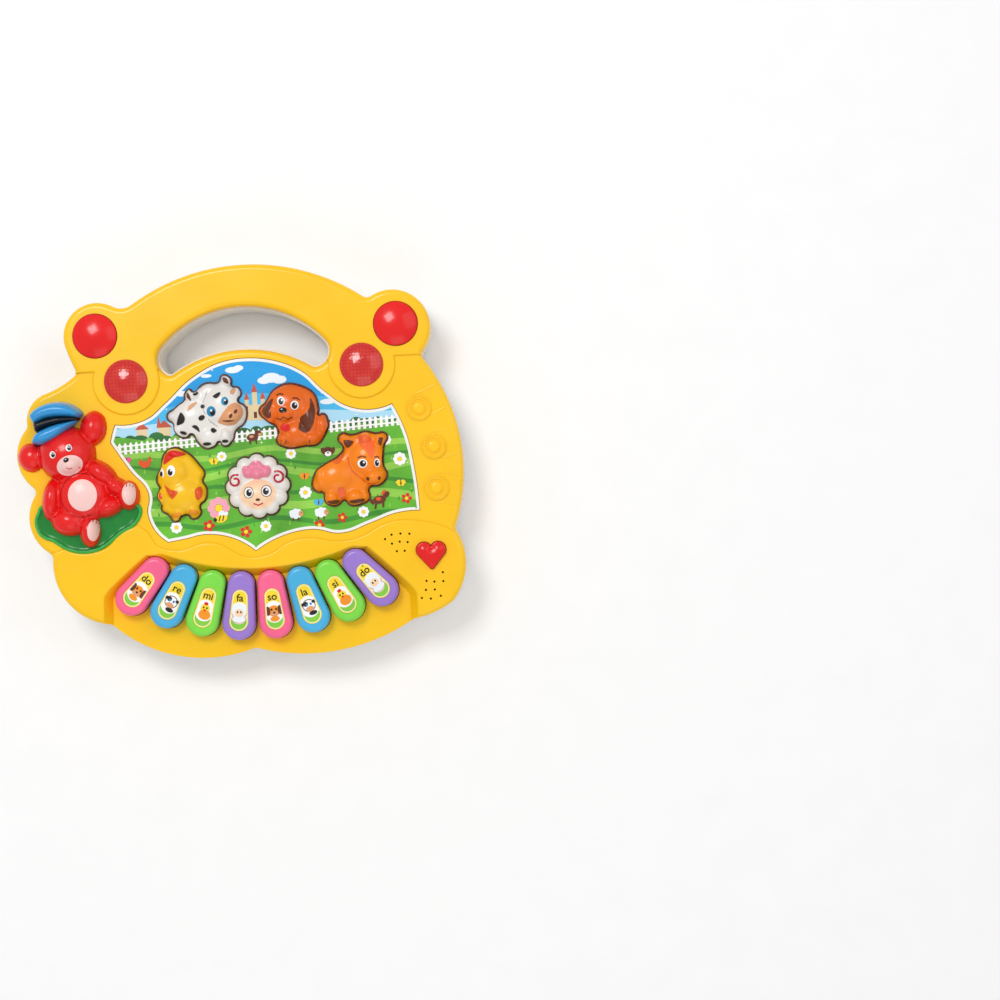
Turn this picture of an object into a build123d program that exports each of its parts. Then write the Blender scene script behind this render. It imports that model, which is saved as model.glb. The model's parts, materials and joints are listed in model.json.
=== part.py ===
from build123d import *
import os

# A child's electronic keyboard with a carrying handle, lying on its back.
# Millimetres. The origin is on the table under the middle of the toy: +X to the
# player's right, +Y towards the handle, +Z up out of the face with the keys.

os.makedirs("parts", exist_ok=True)

# ---------------------------------------------------------------- heights
FOOT = 1.2  # the four moulded feet
PARTING_Z = 14.0  # joint between the bottom and top shells
COLLAR_Z = 24.4  # top of the bottom shell's collar round the handle opening
TERRACE_Z = 24.0  # floor of the well that the keys stand in
PANEL_SEAT_Z = 27.0  # floor of the recess for the printed scene
FACE_Z = 29.0  # side areas of the face
LOBE_Z = 30.0  # raised area round the keys
PLATEAU_Z = 30.2  # handle, ears and lamp pads
KEY_TOP_Z = 31.5
BUTTON_TOP_Z = 33.4
HEART_TOP_Z = 32.2
ANIMAL_TOP_Z = 33.0
BEAR_TOP_Z = 41.0

# ---------------------------------------------------------------- sections
WALL = 2.2
EDGE = 2.4  # rounding of the outer top edge
STEP_EDGE = 1.0  # rounding of the low steps on the face
SHORTEST_EDGE = 0.1  # shorter edges of an offset outline are closed up
WELL_SLOPE = 3.6  # the well's walls lean out by this much from floor to rim
GAP = 0.3  # clearance round pieces that move
SEAM_INSET = 0.25  # the bottom shell stands this far inside the top one
PANEL_THICK = 1.4
BOARD_THICK = 1.6
FLANGE = 1.4  # how far a button's flange stands out under the shell
FLANGE_THICK = 1.4

# ---------------------------------------------------------------- motion
SWITCH_TRAVEL = 4.0

# ---------------------------------------------------------------- places
BUTTON_R = 9.8
LAMP_R = 9.7
MODE_BUTTONS = {"left": (-61.5, 59.5), "right": (73.0, 57.7)}
LAMPS = {"left": (-48.8, 38.5), "right": (56.8, 40.2)}
LAMP_PAD_R = 15.0
PAD_STEP_Y = 43.3  # the raised handle pad ends here on both sides
BELOW_OPENING = (4.0, 52.0)  # the strip under the handle opening stays low
HEART = (83.3, -46.0)
HEART_LOBE_R = 3.5
SPEAKER = (78.5, -52.0)
SPEAKER_R = 14.0
RINGS = [(81.3, 19.5), (87.0, 2.0), (87.3, -16.5)]
RING_R = 5.8
FEET = [(-66, -46), (60, -66), (-62, 54), (72, 52)]
FOOT_R = 5.0
SHELL_SCREWS = [(-33, 71), (40, 70), (-84, 28), (-86, -20), (-72, -52), (89, 8), (88.5, -35.5), (-30, -39)]
SWITCH = (62.0, 12.0)

# the battery box: three AA cells side by side along X
CELL_R = 7.15
CELL_LENGTH = 50.5
CELL_PITCH = 15.2
CELL_COUNT = 3
CELL_Z = FOOT + WALL + 0.3 + CELL_R
BOX_CENTRE = (10.0, 2.0)
BOX_X = CELL_LENGTH + 9.0
BOX_Y = CELL_PITCH * CELL_COUNT + 0.6
BOX_WALL = 1.2
BOX_TOP_Z = CELL_Z + CELL_R + 0.2
DOOR_TAB = 8.0  # the door runs this far past the box for its screw

DOOR_THICK = 1.8
DOOR_TAB_Y = 24.0
DOOR_SCREW = (BOX_CENTRE[0] + BOX_X / 2 + DOOR_TAB / 2, BOX_CENTRE[1])
DOOR_POST_R = 3.4
DOOR_PILOT_R = 1.15

# shell screws: M2.8 self-tapping, heads deep in the bottom shell
SCREW_R = 1.4
SCREW_HEAD_R = 2.6
SCREW_SEAT_Z = 9.0
SCREW_LENGTH = 13.0
SCREW_BITE = 9.0  # depth of the pilot hole above the joint
SHELL_POST_R = 4.2
TOP_POST_R = 3.2
POST_TOP_Z = FACE_Z - WALL + 0.2  # posts run a little way into the face above them

# the boards hang under the face on their own posts and small screws
BOARD_SCREW_R = 1.0
BOARD_SCREW_HEAD_R = 2.0
KEY_BOARD_Z = 13.4
PANEL_BOARD_Z = BOX_TOP_Z + BOX_WALL + 0.3
LAMP_BOARD_Z = 17.0
KEY_BOARD_SCREWS = [(-53, -45), (4, -46), (64, -47), (91, -53)]
PANEL_BOARD_SCREWS = [(-38, 6), (9, 31), (61, 18), (29, -26)]
LAMP_BOARD_SCREWS = {"left": [(-66.0, 46.5), (-44.2, 51.8)], "right": [(74.5, 43.8), (57.0, 54.5)]}
BOARD_FASTENINGS = [
    (KEY_BOARD_SCREWS, KEY_BOARD_Z),
    (PANEL_BOARD_SCREWS, PANEL_BOARD_Z),
    (LAMP_BOARD_SCREWS["left"] + LAMP_BOARD_SCREWS["right"], LAMP_BOARD_Z),
]
BOARD_SCREW_LENGTH = 5.5
BOARD_POST_R = 2.4
BOARD_BITE = 4.4  # depth of the pilot hole above the board
BOARD_ARM_R = 6.0
LAMP_ARM_R = 3.0
KEY_BOARD_STRIPS = [
    ((-50.0, -52.0), (-54.5, -44.0)),
    ((-50.0, -52.0), (-30.0, -58.5)),
    ((-30.0, -58.5), (4.0, -64.0)),
    ((4.0, -64.0), (41.0, -59.5)),
    ((41.0, -59.5), (57.0, -53.0)),
    ((57.0, -53.0), (83.3, -46.0)),
    ((83.3, -46.0), (88.0, -55.0)),
    ((4.0, -64.0), (4.0, -46.0)),
]
PANEL_BOARD_CORNERS = [
    (-42, 12), (-42, -22), (-20, -30), (34, -30), (66, -18), (66, 16), (42, 22), (16, 36), (-22, 34),
]
CHIP = (-32.0, -2.0)
CHIP_THICK = 1.2
LED_R = 1.5
LED_SHIFT = 6.5
LED_HEIGHT = 6.5
COLLAR_INSET = 0.8  # the bottom shell's collar narrows the handle opening by this much
GRILLE_HOLE_R = 1.0
GRILLE_RINGS = [(4.2, 6), (8.2, 12)]
KNOB_X = 5.0
KNOB_Y = 3.4
SOUND_HOLE_R = 0.5
SOUND_HOLES = [
    (63, -38.3), (66, -36.5), (70, -36.2), (74, -36.5), (66, -40.5), (69.5, -39.8), (73, -40.2),
    (68, -44), (71.5, -44), (88, -54.5), (80.5, -58), (84, -58.5), (88, -58.5), (80, -62), (84, -62),
    (86.5, -65), (78, -65.5), (82, -66),
]
PEG_R = 2.0
PEG_LENGTH = 4.0
BEAR_PEGS = [(-80, 6), (-68, -14)]
# the bear's round parts: centre, radius, height above the face
BEAR_ROUNDS = [
    ((-77.0, 7.5), 13.2, 12.0),
    ((-93.5, 7.3), 5.2, 4.5),
    ((-65.5, 17.5), 7.6, 6.0),
    ((-71.0, -11.5), 14.4, 9.0),
    ((-83.5, -11.5), 5.6, 7.0),
    ((-61.0, -2.0), 7.4, 7.0),
    ((-51.0, -12.5), 6.0, 8.0),
    ((-75.5, -24.5), 8.6, 7.5),
]
CAP = [
    (-92.6, 24.8), (-85.0, 30.6), (-78.0, 31.2), (-72.0, 29.0), (-68.8, 25.2), (-73.0, 19.0), (-80.0, 13.6),
    (-87.0, 11.4), (-91.8, 12.4), (-89.4, 18.0),
]
LEAF_THICK = 1.6
KEY_TAB_REACH = 3.2  # a key's end tabs are narrower than the key and moved out by this much
KEY_TAB_NARROW = 2.0
KEY_WALL = 1.6
KEY_STEM_R = 2.2
KEY_DOME = 4.0  # height of the heart's rubber dome
MODE_DOME = 4.0
ANIMAL_STEMS = [(-11, 22), (26, 20), (-27, -9), (7.6, -11.4), (50, -8)]

# keys: name, centre of the inner round end, centre of the outer round end
KEY_INNER_R = 6.0
KEY_OUTER_R = 7.5
KEYS = [
    ("do_low", (-40.5, -46.5), (-51.5, -58.8)),
    ("re", (-28.0, -50.5), (-36.2, -65.3)),
    ("mi", (-15.3, -53.8), (-20.5, -69.8)),
    ("fa", (-2.4, -55.0), (-4.3, -72.3)),
    ("so", (10.8, -55.2), (12.2, -72.5)),
    ("la", (23.9, -54.3), (29.0, -70.8)),
    ("si", (36.8, -52.0), (45.0, -66.8)),
    ("do_high", (49.3, -47.8), (60.3, -60.8)),
]
LABEL_INNER_R = 3.6
LABEL_OUTER_R = 4.4
LABEL_DEPTH = 0.6
LABEL_THICK = 0.3

# ---------------------------------------------------------------- outlines
# Each entry is a corner, a point on the arc that leaves it, and the corner's rounding.
SHELL_ARCS = [
    ((-49.5, 69.4), (4.0, 88.0), 8.0),
    ((60.8, 69.6), (78.0, 71.9), 3.5),
    ((82.9, 43.6), (99.8, -2.0), 3.0),
    ((94.4, -35.2), (98.6, -50.0), 3.0),
    ((92.0, -67.6), (83.5, -72.2), 6.0),
    ((74.0, -74.6), (42.0, -86.7), 2.5),
    ((2.0, -83.8), (-32.0, -85.8), 2.0),
    ((-61.9, -69.8), (-78.6, -61.3), 2.0),
    ((-85.8, -37.5), (-95.9, -20.0), 3.0),
    ((-91.2, -8.3), (-99.8, 6.0), 3.0),
    ((-94.4, 20.4), (-92.8, 29.5), 3.0),
    ((-86.5, 34.8), (-78.0, 38.4), 8.0),
    ((-70.8, 43.5), (-72.6, 47.5), 2.5),
    ((-75.4, 55.5), (-66.5, 73.4), 0.0),
]
OPENING_ARCS = [
    ((-32.2, 53.6), (4.0, 69.4), 0.0),
    ((40.8, 52.8), (42.6, 46.5), 0.0),
    ((35.2, 40.4), (4.0, 50.0), 3.0),
    ((-29.0, 39.7), (-34.7, 46.0), 3.0),
]
WELL_ARCS = [
    ((-41.5, -37.6), (4.0, -47.9), 3.0),
    ((52.5, -38.8), (62.5, -48.0), 3.0),
    ((76.0, -62.0), (76.0, -78.0), 5.0),
    ((74.0, -98.0), (0.0, -99.0), 0.0),
    ((-63.0, -98.0), (-64.6, -78.0), 0.0),
    ((-64.0, -56.5), (-53.0, -46.5), 5.0),
]
# The printed scene: corners of the panel with the points of the curve that leaves each.
PANEL_CURVES = [
    [(-54.9, 19.4), (-49.0, 19.1), (-40.0, 21.5), (-32.0, 27.8), (-20.0, 38.2), (-8.0, 44.3), (5.0, 46.1)],
    [(5.0, 46.1), (17.0, 44.5), (29.0, 39.4), (40.0, 29.0), (48.0, 22.8), (58.0, 20.1), (69.4, 22.1)],
    [(69.4, 22.1), (74.6, 10.0), (78.0, -8.0), (79.3, -26.2)],
    [(79.3, -26.2), (68.0, -27.0), (58.0, -30.3), (44.0, -34.5), (30.0, -32.1), (17.0, -34.4), (5.0, -40.4)],
    [(5.0, -40.4), (-6.0, -33.7), (-17.0, -31.8), (-27.0, -33.4), (-34.0, -34.4)],
    [(-34.0, -34.4), (-42.3, -22.0), (-41.6, -12.5), (-50.0, -0.3), (-57.4, 11.5)],
    [(-57.4, 11.5), (-56.4, 15.5), (-54.9, 19.4)],
]
# The upper edge of the raised area round the keys, from the leaf to the right-hand side.
WAVE = [
    (-52, -24), (-44, -28), (-38, -36), (-30, -38), (-17, -35.3), (5, -43), (25, -35.8), (46, -37.7),
    (70, -30), (96, -37.5),
]
RAISED_BELOW = [(120, -40), (120, -110), (-120, -110), (-120, -46), (-78, -34), (-62, -30)]
LEAF = [
    (-93.0, -20.0), (-91.2, -27.2), (-85.0, -30.5), (-79.0, -35.2), (-72.0, -37.0), (-63.0, -35.4),
    (-55.0, -29.0),
    (-46.5, -24.0), (-44.4, -17.6), (-50.0, -14.5), (-60.0, -13.6), (-72.0, -13.0), (-87.0, -13.5),
]

COW = [
    (-30.8, 20.8), (-26.0, 26.0), (-23.0, 28.3), (-22.4, 31.6), (-20.8, 33.0), (-19.4, 31.8), (-14.0, 35.1),
    (-6.8, 36.2), (-5.6, 38.5), (-2.6, 37.4), (-1.9, 33.6), (1.2, 32.4), (1.8, 30.0), (0.4, 28.0), (3.9, 23.0),
    (3.0, 17.8), (-1.3, 14.0), (-3.2, 9.4), (-6.0, 7.5), (-8.6, 9.7), (-11.4, 7.5), (-14.4, 6.9), (-17.5, 9.2),
    (-20.4, 13.8), (-24.2, 12.2), (-27.6, 15.0), (-28.4, 18.8),
]
DOG = [
    (10.3, 21.8), (13.8, 26.0), (16.8, 30.4), (22.0, 33.1), (29.0, 32.0), (34.6, 28.0), (36.1, 22.0),
    (36.4, 18.4), (38.4, 18.9), (40.1, 16.0), (38.2, 9.6), (35.6, 6.4), (29.6, 5.6), (20.6, 5.6), (17.4, 7.8),
    (18.4, 11.6), (17.4, 14.8), (13.4, 17.9),
]
CHICK = [
    (-33.6, 4.4), (-29.6, 7.3), (-23.6, 5.0), (-18.8, -0.2), (-16.4, -4.6), (-17.4, -7.6), (-15.8, -11.6),
    (-16.4, -15.8), (-19.0, -18.4), (-19.2, -22.6), (-22.2, -24.2), (-24.4, -22.3), (-27.2, -22.6),
    (-29.8, -25.0), (-33.0, -21.8), (-35.6, -19.8), (-35.6, -17.0), (-37.1, -13.4), (-36.0, -10.6),
    (-37.2, -6.4), (-34.6, -0.4),
]
HORSE = [
    (45.3, 8.9), (51.4, 8.8), (57.0, 9.9), (61.4, 8.9), (65.4, 8.8), (64.2, 2.4), (63.8, -5.6), (65.2, -9.8),
    (62.4, -13.3), (57.4, -14.4), (56.2, -20.4), (53.0, -21.8), (48.4, -21.8), (46.8, -19.9), (41.0, -21.8),
    (38.4, -20.8), (36.4, -15.6), (34.0, -15.2), (33.9, -7.0), (38.4, -3.7), (43.6, -0.9), (46.9, 2.8),
]
SHEEP_CENTRE = (7.6, -11.4)
SHEEP_R = 14.2
SHEEP_CURLS = 12
SHEEP_CURL_R = 3.6


def keep(piece, node):
    """Labels a finished piece and writes it."""
    piece.part.label = node
    export_step(piece.part, f"parts/{node}.step")


def level(height):
    """The horizontal plane at a height above the table."""
    return Plane.XY.offset(height)


def arc_face(arcs):
    """A closed face from a loop of arcs, with its corners rounded."""
    with BuildSketch() as face:
        with BuildLine():
            for (corner, through, _), following in zip(arcs, arcs[1:] + arcs[:1]):
                ThreePointArc(corner, through, following[0])
        make_face()
        for corner, _, rounding in arcs:
            if rounding > 0:
                fillet(face.vertices().sort_by_distance(corner)[0], rounding)
    return face.sketch


def ellipsoid(radius, height):
    """A ball flattened or stretched to a height above its middle."""
    with BuildPart() as ball:
        Sphere(radius)
        scale(by=(1, 1, height / radius))
    return ball.part


def turn_between(before, spot, after):
    """The direction in which a circle through three points passes the middle one."""
    back = spot - before
    ahead = after - spot
    return (back * (1 / back.length**2) + ahead * (1 / ahead.length**2)).normalized()


def mirrored(direction, start, end):
    """The direction at one end of an arc, from the direction at its other end."""
    chord = (end - start).normalized()
    return chord * (2 * chord.dot(direction)) - direction


def arc_leaving(start, direction, end):
    """An arc that leaves its start in the given direction."""
    along = (end - start).normalized()
    share = along.dot(direction)
    lift = (direction - along * share) * ((end - start).length / (2 + 2 * share))
    ThreePointArc(start, (start + end) * 0.5 + lift, end)


def smooth_arcs(points, closed):
    """A run of arcs, two between each pair of points, that meet without a corner."""
    spots = [Vector(*point) for point in points]
    if closed:
        spots = [spots[-1], *spots, spots[0], spots[1]]
    turns = [turn_between(*spots[i : i + 3]) for i in range(len(spots) - 2)]
    if closed:
        spots = spots[1:-1]
    else:
        turns = [mirrored(turns[0], spots[0], spots[1]), *turns, mirrored(turns[-1], spots[-2], spots[-1])]
    for start, end, turn_out, turn_in in zip(spots, spots[1:], turns, turns[1:]):
        chord = end - start
        lean = chord.dot(turn_out + turn_in)
        bend = 2 * (1 - turn_out.dot(turn_in))
        reach = chord.length**2 / (lean + (lean**2 + bend * chord.length**2) ** 0.5)
        middle = (start + end + (turn_out - turn_in) * reach) * 0.5
        arc_leaving(start, turn_out, middle)
        arc_leaving(end, -turn_in, middle)


def smooth_face(points):
    """A closed face inside one smooth curve through the points."""
    with BuildSketch() as face:
        with BuildLine():
            smooth_arcs(points, closed=True)
        make_face()
    return face.sketch


def panel_face():
    """The outline of the printed scene: smooth curves that meet at rounded corners."""
    with BuildSketch() as face:
        with BuildLine():
            for curve in PANEL_CURVES:
                smooth_arcs(curve, closed=False)
        make_face()
    return face.sketch


def sheep_face():
    """A round fleece with a scalloped edge."""
    with BuildSketch() as face:
        with Locations(SHEEP_CENTRE):
            Circle(SHEEP_R - SHEEP_CURL_R / 2)
            with PolarLocations(SHEEP_R - SHEEP_CURL_R, SHEEP_CURLS):
                Circle(SHEEP_CURL_R)
    return face.sketch


def stadium(inner, outer, inner_r, outer_r):
    """A face round two unlike circles, such as a key seen from above."""
    with BuildSketch() as face:
        with Locations(inner):
            Circle(inner_r)
        with Locations(outer):
            Circle(outer_r)
        make_hull()
    return face.sketch


def heart_face(centre):
    """A heart with its point towards the player: two tapered lobes that share a tip."""
    x, y = centre
    with BuildSketch() as face:
        for side in (-1, 1):
            add(stadium((x + side * HEART_LOBE_R * 0.9, y + 1.9), (x, y - 5.8), HEART_LOBE_R, 0.9))
    return face.sketch


def shared_end(edge, following):
    """The end of one edge that meets the next."""
    ends = [edge @ 0, edge @ 1]
    return min(ends, key=lambda end: min((end - following @ 0).length, (end - following @ 1).length))


def grown(face, amount):
    """The same face with its edge moved out, or in where the amount is negative."""
    with BuildSketch() as moved:
        offset(face, amount=amount)
    edges = [edge for edge in moved.sketch.face().outer_wire().order_edges() if edge.length > SHORTEST_EDGE]
    with BuildSketch() as result:
        with BuildLine():
            for before, edge, following in zip(edges[-1:] + edges[:-1], edges, edges[1:] + edges[:1]):
                start = shared_end(before, edge)
                end = shared_end(edge, following)
                if edge.geom_type == GeomType.LINE:
                    Line(start, end)
                else:
                    ThreePointArc(start, edge @ 0.5, end)
        make_face()
    return result.sketch


def top_edges(piece, height):
    """The edges that lie flat at one height."""
    return piece.edges().filter_by_position(Axis.Z, height - 0.01, height + 0.01)


SHELL = arc_face(SHELL_ARCS)
OPENING = arc_face(OPENING_ARCS)
WELL = arc_face(WELL_ARCS)
PANEL = panel_face()
HEART_FACE = heart_face(HEART)
ANIMALS = {
    "cow": smooth_face(COW),
    "dog": smooth_face(DOG),
    "chick": smooth_face(CHICK),
    "sheep": sheep_face(),
    "horse": smooth_face(HORSE),
}

# ---------------------------------------------------------------- top shell
# The face is a few raised areas at different heights. Each is the toy's whole outline
# with a rounded edge, cut down to an area whose steps are rounded too.
def outer_form(height):
    """The shell's outline with the handle opening, up to a height, with a rounded edge."""
    with BuildPart() as form:
        with BuildSketch(level(PARTING_Z)):
            add(SHELL)
            add(OPENING, mode=Mode.SUBTRACT)
        extrude(amount=height - PARTING_Z)
        fillet(top_edges(form, height), EDGE)
    return form.part


with BuildPart() as handle_pad:
    with BuildSketch(level(PARTING_Z)):
        with Locations((0, PAD_STEP_Y)):
            Rectangle(240, 80, align=(Align.CENTER, Align.MIN))
        with Locations(BELOW_OPENING):
            Rectangle(73, 12, align=(Align.CENTER, Align.MAX), mode=Mode.SUBTRACT)
        with Locations(*LAMPS.values()):
            Circle(LAMP_PAD_R)
    extrude(amount=PLATEAU_Z - PARTING_Z)
    fillet(top_edges(handle_pad, PLATEAU_Z), STEP_EDGE)
    add(outer_form(PLATEAU_Z), mode=Mode.INTERSECT)

with BuildPart() as well_space:
    with BuildSketch(level(TERRACE_Z)):
        add(grown(WELL, -WELL_SLOPE))
    with BuildSketch(level(LOBE_Z + 2)):
        add(grown(WELL, WELL_SLOPE / 3))
    loft(ruled=True)

with BuildPart() as lobe_pad:
    with BuildSketch(level(PARTING_Z)):
        with BuildLine():
            smooth_arcs(WAVE, closed=False)
            Polyline(WAVE[-1], *RAISED_BELOW, WAVE[0])
        make_face()
        add(grown(smooth_face(LEAF), GAP), mode=Mode.SUBTRACT)
    extrude(amount=LOBE_Z - PARTING_Z)
    add(well_space.part, mode=Mode.SUBTRACT)
    fillet(top_edges(lobe_pad, LOBE_Z), STEP_EDGE)
    add(outer_form(LOBE_Z), mode=Mode.INTERSECT)

INSIDE = grown(SHELL, -WALL)
PANEL_WALL = grown(PANEL, WALL)
WELL_WALL = grown(WELL, WALL - 0.8)
LIP = grown(OPENING, WALL)

with BuildPart() as top_shell:
    add(outer_form(FACE_Z))
    add(handle_pad.part)
    add(well_space.part, mode=Mode.SUBTRACT)
    add(lobe_pad.part)
    # three moulded rings on the right-hand side
    with BuildSketch(level(FACE_Z - 0.5)):
        with Locations(*RINGS):
            Circle(RING_R)
    extrude(amount=1.1)
    with BuildSketch(level(FACE_Z + 0.1)):
        with Locations(*RINGS):
            Circle(RING_R - 1.9)
            Circle(RING_R - 2.9, mode=Mode.SUBTRACT)
    extrude(amount=1, mode=Mode.SUBTRACT)
    # recess for the printed scene
    with BuildSketch(level(PANEL_SEAT_Z)):
        add(grown(PANEL, GAP / 2))
    extrude(amount=10, mode=Mode.SUBTRACT)
    # the hollow underneath, in three layers that follow the face above
    with BuildSketch(level(PARTING_Z)):
        add(INSIDE)
    extrude(amount=TERRACE_Z - WALL - PARTING_Z, mode=Mode.SUBTRACT)
    with BuildSketch(level(TERRACE_Z - WALL)):
        add(INSIDE)
        add(WELL_WALL, mode=Mode.SUBTRACT)
    extrude(amount=WALL + COLLAR_Z + 0.1 - TERRACE_Z, mode=Mode.SUBTRACT)
    with BuildSketch(level(COLLAR_Z)):
        add(INSIDE)
        add(WELL_WALL, mode=Mode.SUBTRACT)
        add(PANEL_WALL, mode=Mode.SUBTRACT)
        add(LIP, mode=Mode.SUBTRACT)
    extrude(amount=FACE_Z - WALL - COLLAR_Z, mode=Mode.SUBTRACT)
    # posts for the shell screws and for the boards
    with BuildSketch(level(PARTING_Z)):
        with Locations(*SHELL_SCREWS):
            Circle(TOP_POST_R)
    extrude(amount=POST_TOP_Z - PARTING_Z)
    with BuildSketch(level(PARTING_Z)):
        with Locations(*SHELL_SCREWS):
            Circle(SCREW_R + 0.05)
    extrude(amount=SCREW_BITE, mode=Mode.SUBTRACT)
    for places, board_z in BOARD_FASTENINGS:
        with BuildSketch(level(board_z + BOARD_THICK)):
            with Locations(*places):
                Circle(BOARD_POST_R)
        extrude(amount=POST_TOP_Z - board_z - BOARD_THICK)
        with BuildSketch(level(board_z + BOARD_THICK)):
            with Locations(*places):
                Circle(BOARD_SCREW_R + 0.05)
        extrude(amount=BOARD_BITE, mode=Mode.SUBTRACT)
    # openings for everything that comes through the face
    with BuildSketch(level(PARTING_Z)):
        for _, inner, outer in KEYS:
            add(stadium(inner, outer, KEY_INNER_R + GAP, KEY_OUTER_R + GAP))
        for animal in ANIMALS.values():
            add(grown(animal, GAP))
        with Locations(*MODE_BUTTONS.values()):
            Circle(BUTTON_R + GAP)
        with Locations(*LAMPS.values()):
            Circle(LAMP_R + 0.1)
        add(grown(HEART_FACE, GAP))
        with Locations(*SOUND_HOLES):
            Circle(SOUND_HOLE_R)
        with Locations(*BEAR_PEGS):
            Circle(PEG_R + 0.1)
    extrude(amount=30, mode=Mode.SUBTRACT)
keep(top_shell, "top_shell")

# ---------------------------------------------------------------- bottom shell
with BuildPart() as bottom_shell:
    with BuildSketch(level(FOOT)):
        add(grown(SHELL, -SEAM_INSET))
    extrude(amount=PARTING_Z - FOOT)
    fillet(top_edges(bottom_shell, FOOT), 2.0)
    with BuildSketch(level(FOOT + WALL)):
        add(grown(SHELL, -SEAM_INSET - WALL))
    extrude(amount=20, mode=Mode.SUBTRACT)
    # collar round the handle opening, just inside the top shell's lip
    with BuildSketch(level(FOOT)):
        add(grown(OPENING, WALL - COLLAR_INSET))
    extrude(amount=COLLAR_Z - FOOT)
    with BuildSketch():
        add(grown(OPENING, -COLLAR_INSET))
    extrude(amount=40, mode=Mode.SUBTRACT)
    # feet
    with BuildSketch():
        with Locations(*FEET):
            Circle(FOOT_R)
    extrude(amount=FOOT + 0.2)
    fillet(top_edges(bottom_shell, 0), 0.6)
    # battery box, standing on the floor and open underneath
    with BuildSketch(level(FOOT)):
        with Locations(BOX_CENTRE):
            Rectangle(BOX_X + 2 * BOX_WALL, BOX_Y + 2 * BOX_WALL)
    extrude(amount=BOX_TOP_Z + BOX_WALL - FOOT)
    with BuildSketch():
        with Locations(BOX_CENTRE):
            Rectangle(BOX_X, BOX_Y)
    extrude(amount=BOX_TOP_Z, mode=Mode.SUBTRACT)
    # seat and screw post for the door's tab
    with BuildSketch(level(FOOT)):
        with Locations(DOOR_SCREW):
            Circle(DOOR_POST_R)
            Rectangle(DOOR_TAB, DOOR_TAB_Y)
    extrude(amount=FOOT + WALL + 4.0 - FOOT)
    with BuildSketch():
        with Locations((BOX_CENTRE[0] + DOOR_TAB / 2, BOX_CENTRE[1])):
            Rectangle(BOX_X + DOOR_TAB, DOOR_TAB_Y)
    extrude(amount=FOOT + DOOR_THICK + 0.2, mode=Mode.SUBTRACT)
    with BuildSketch():
        with Locations(BOX_CENTRE):
            Rectangle(BOX_X, BOX_Y)
    extrude(amount=BOX_TOP_Z, mode=Mode.SUBTRACT)
    with BuildSketch():
        with Locations(DOOR_SCREW):
            Circle(DOOR_PILOT_R)
    extrude(amount=FOOT + WALL + 3.0, mode=Mode.SUBTRACT)
    # posts for the shell screws, counterbored from underneath
    with BuildSketch(level(FOOT)):
        with Locations(*SHELL_SCREWS):
            Circle(SHELL_POST_R)
    extrude(amount=PARTING_Z - FOOT)
    with BuildSketch():
        with Locations(*SHELL_SCREWS):
            Circle(SCREW_HEAD_R + 0.3)
    extrude(amount=SCREW_SEAT_Z, mode=Mode.SUBTRACT)
    with BuildSketch():
        with Locations(*SHELL_SCREWS):
            Circle(SCREW_R + 0.2)
    extrude(amount=PARTING_Z, mode=Mode.SUBTRACT)
    # speaker ring and grille
    with BuildSketch(level(FOOT)):
        with Locations(SPEAKER):
            Circle(SPEAKER_R + 1.6)
            Circle(SPEAKER_R + 0.2, mode=Mode.SUBTRACT)
    extrude(amount=WALL + 3.0)
    with BuildSketch():
        with Locations(SPEAKER):
            Circle(GRILLE_HOLE_R)
            for ring, count in GRILLE_RINGS:
                with PolarLocations(ring, count):
                    Circle(GRILLE_HOLE_R)
    extrude(amount=FOOT + WALL, mode=Mode.SUBTRACT)
    # slot for the power switch
    with BuildSketch():
        with Locations((SWITCH[0] + SWITCH_TRAVEL / 2, SWITCH[1])):
            Rectangle(KNOB_X + SWITCH_TRAVEL + 0.6, KNOB_Y + 0.6)
    extrude(amount=FOOT + WALL, mode=Mode.SUBTRACT)
keep(bottom_shell, "bottom_shell")

# ---------------------------------------------------------------- printed scene
with BuildPart() as scene_panel:
    with BuildSketch(level(PANEL_SEAT_Z)):
        add(grown(PANEL, -GAP / 2))
        for animal in ANIMALS.values():
            add(grown(animal, GAP), mode=Mode.SUBTRACT)
    extrude(amount=PANEL_THICK)
keep(scene_panel, "scene_panel")

# ---------------------------------------------------------------- animal buttons
ANIMAL_FLANGE_Z = COLLAR_Z - 0.2 - FLANGE_THICK
for name, face in ANIMALS.items():
    with BuildPart() as animal_button:
        with BuildSketch(level(ANIMAL_FLANGE_Z)):
            add(grown(face, FLANGE))
        extrude(amount=FLANGE_THICK)
        with BuildSketch(level(ANIMAL_FLANGE_Z)):
            add(face)
        extrude(amount=ANIMAL_TOP_Z - ANIMAL_FLANGE_Z)
    keep(animal_button, f"{name}_button")

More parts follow.
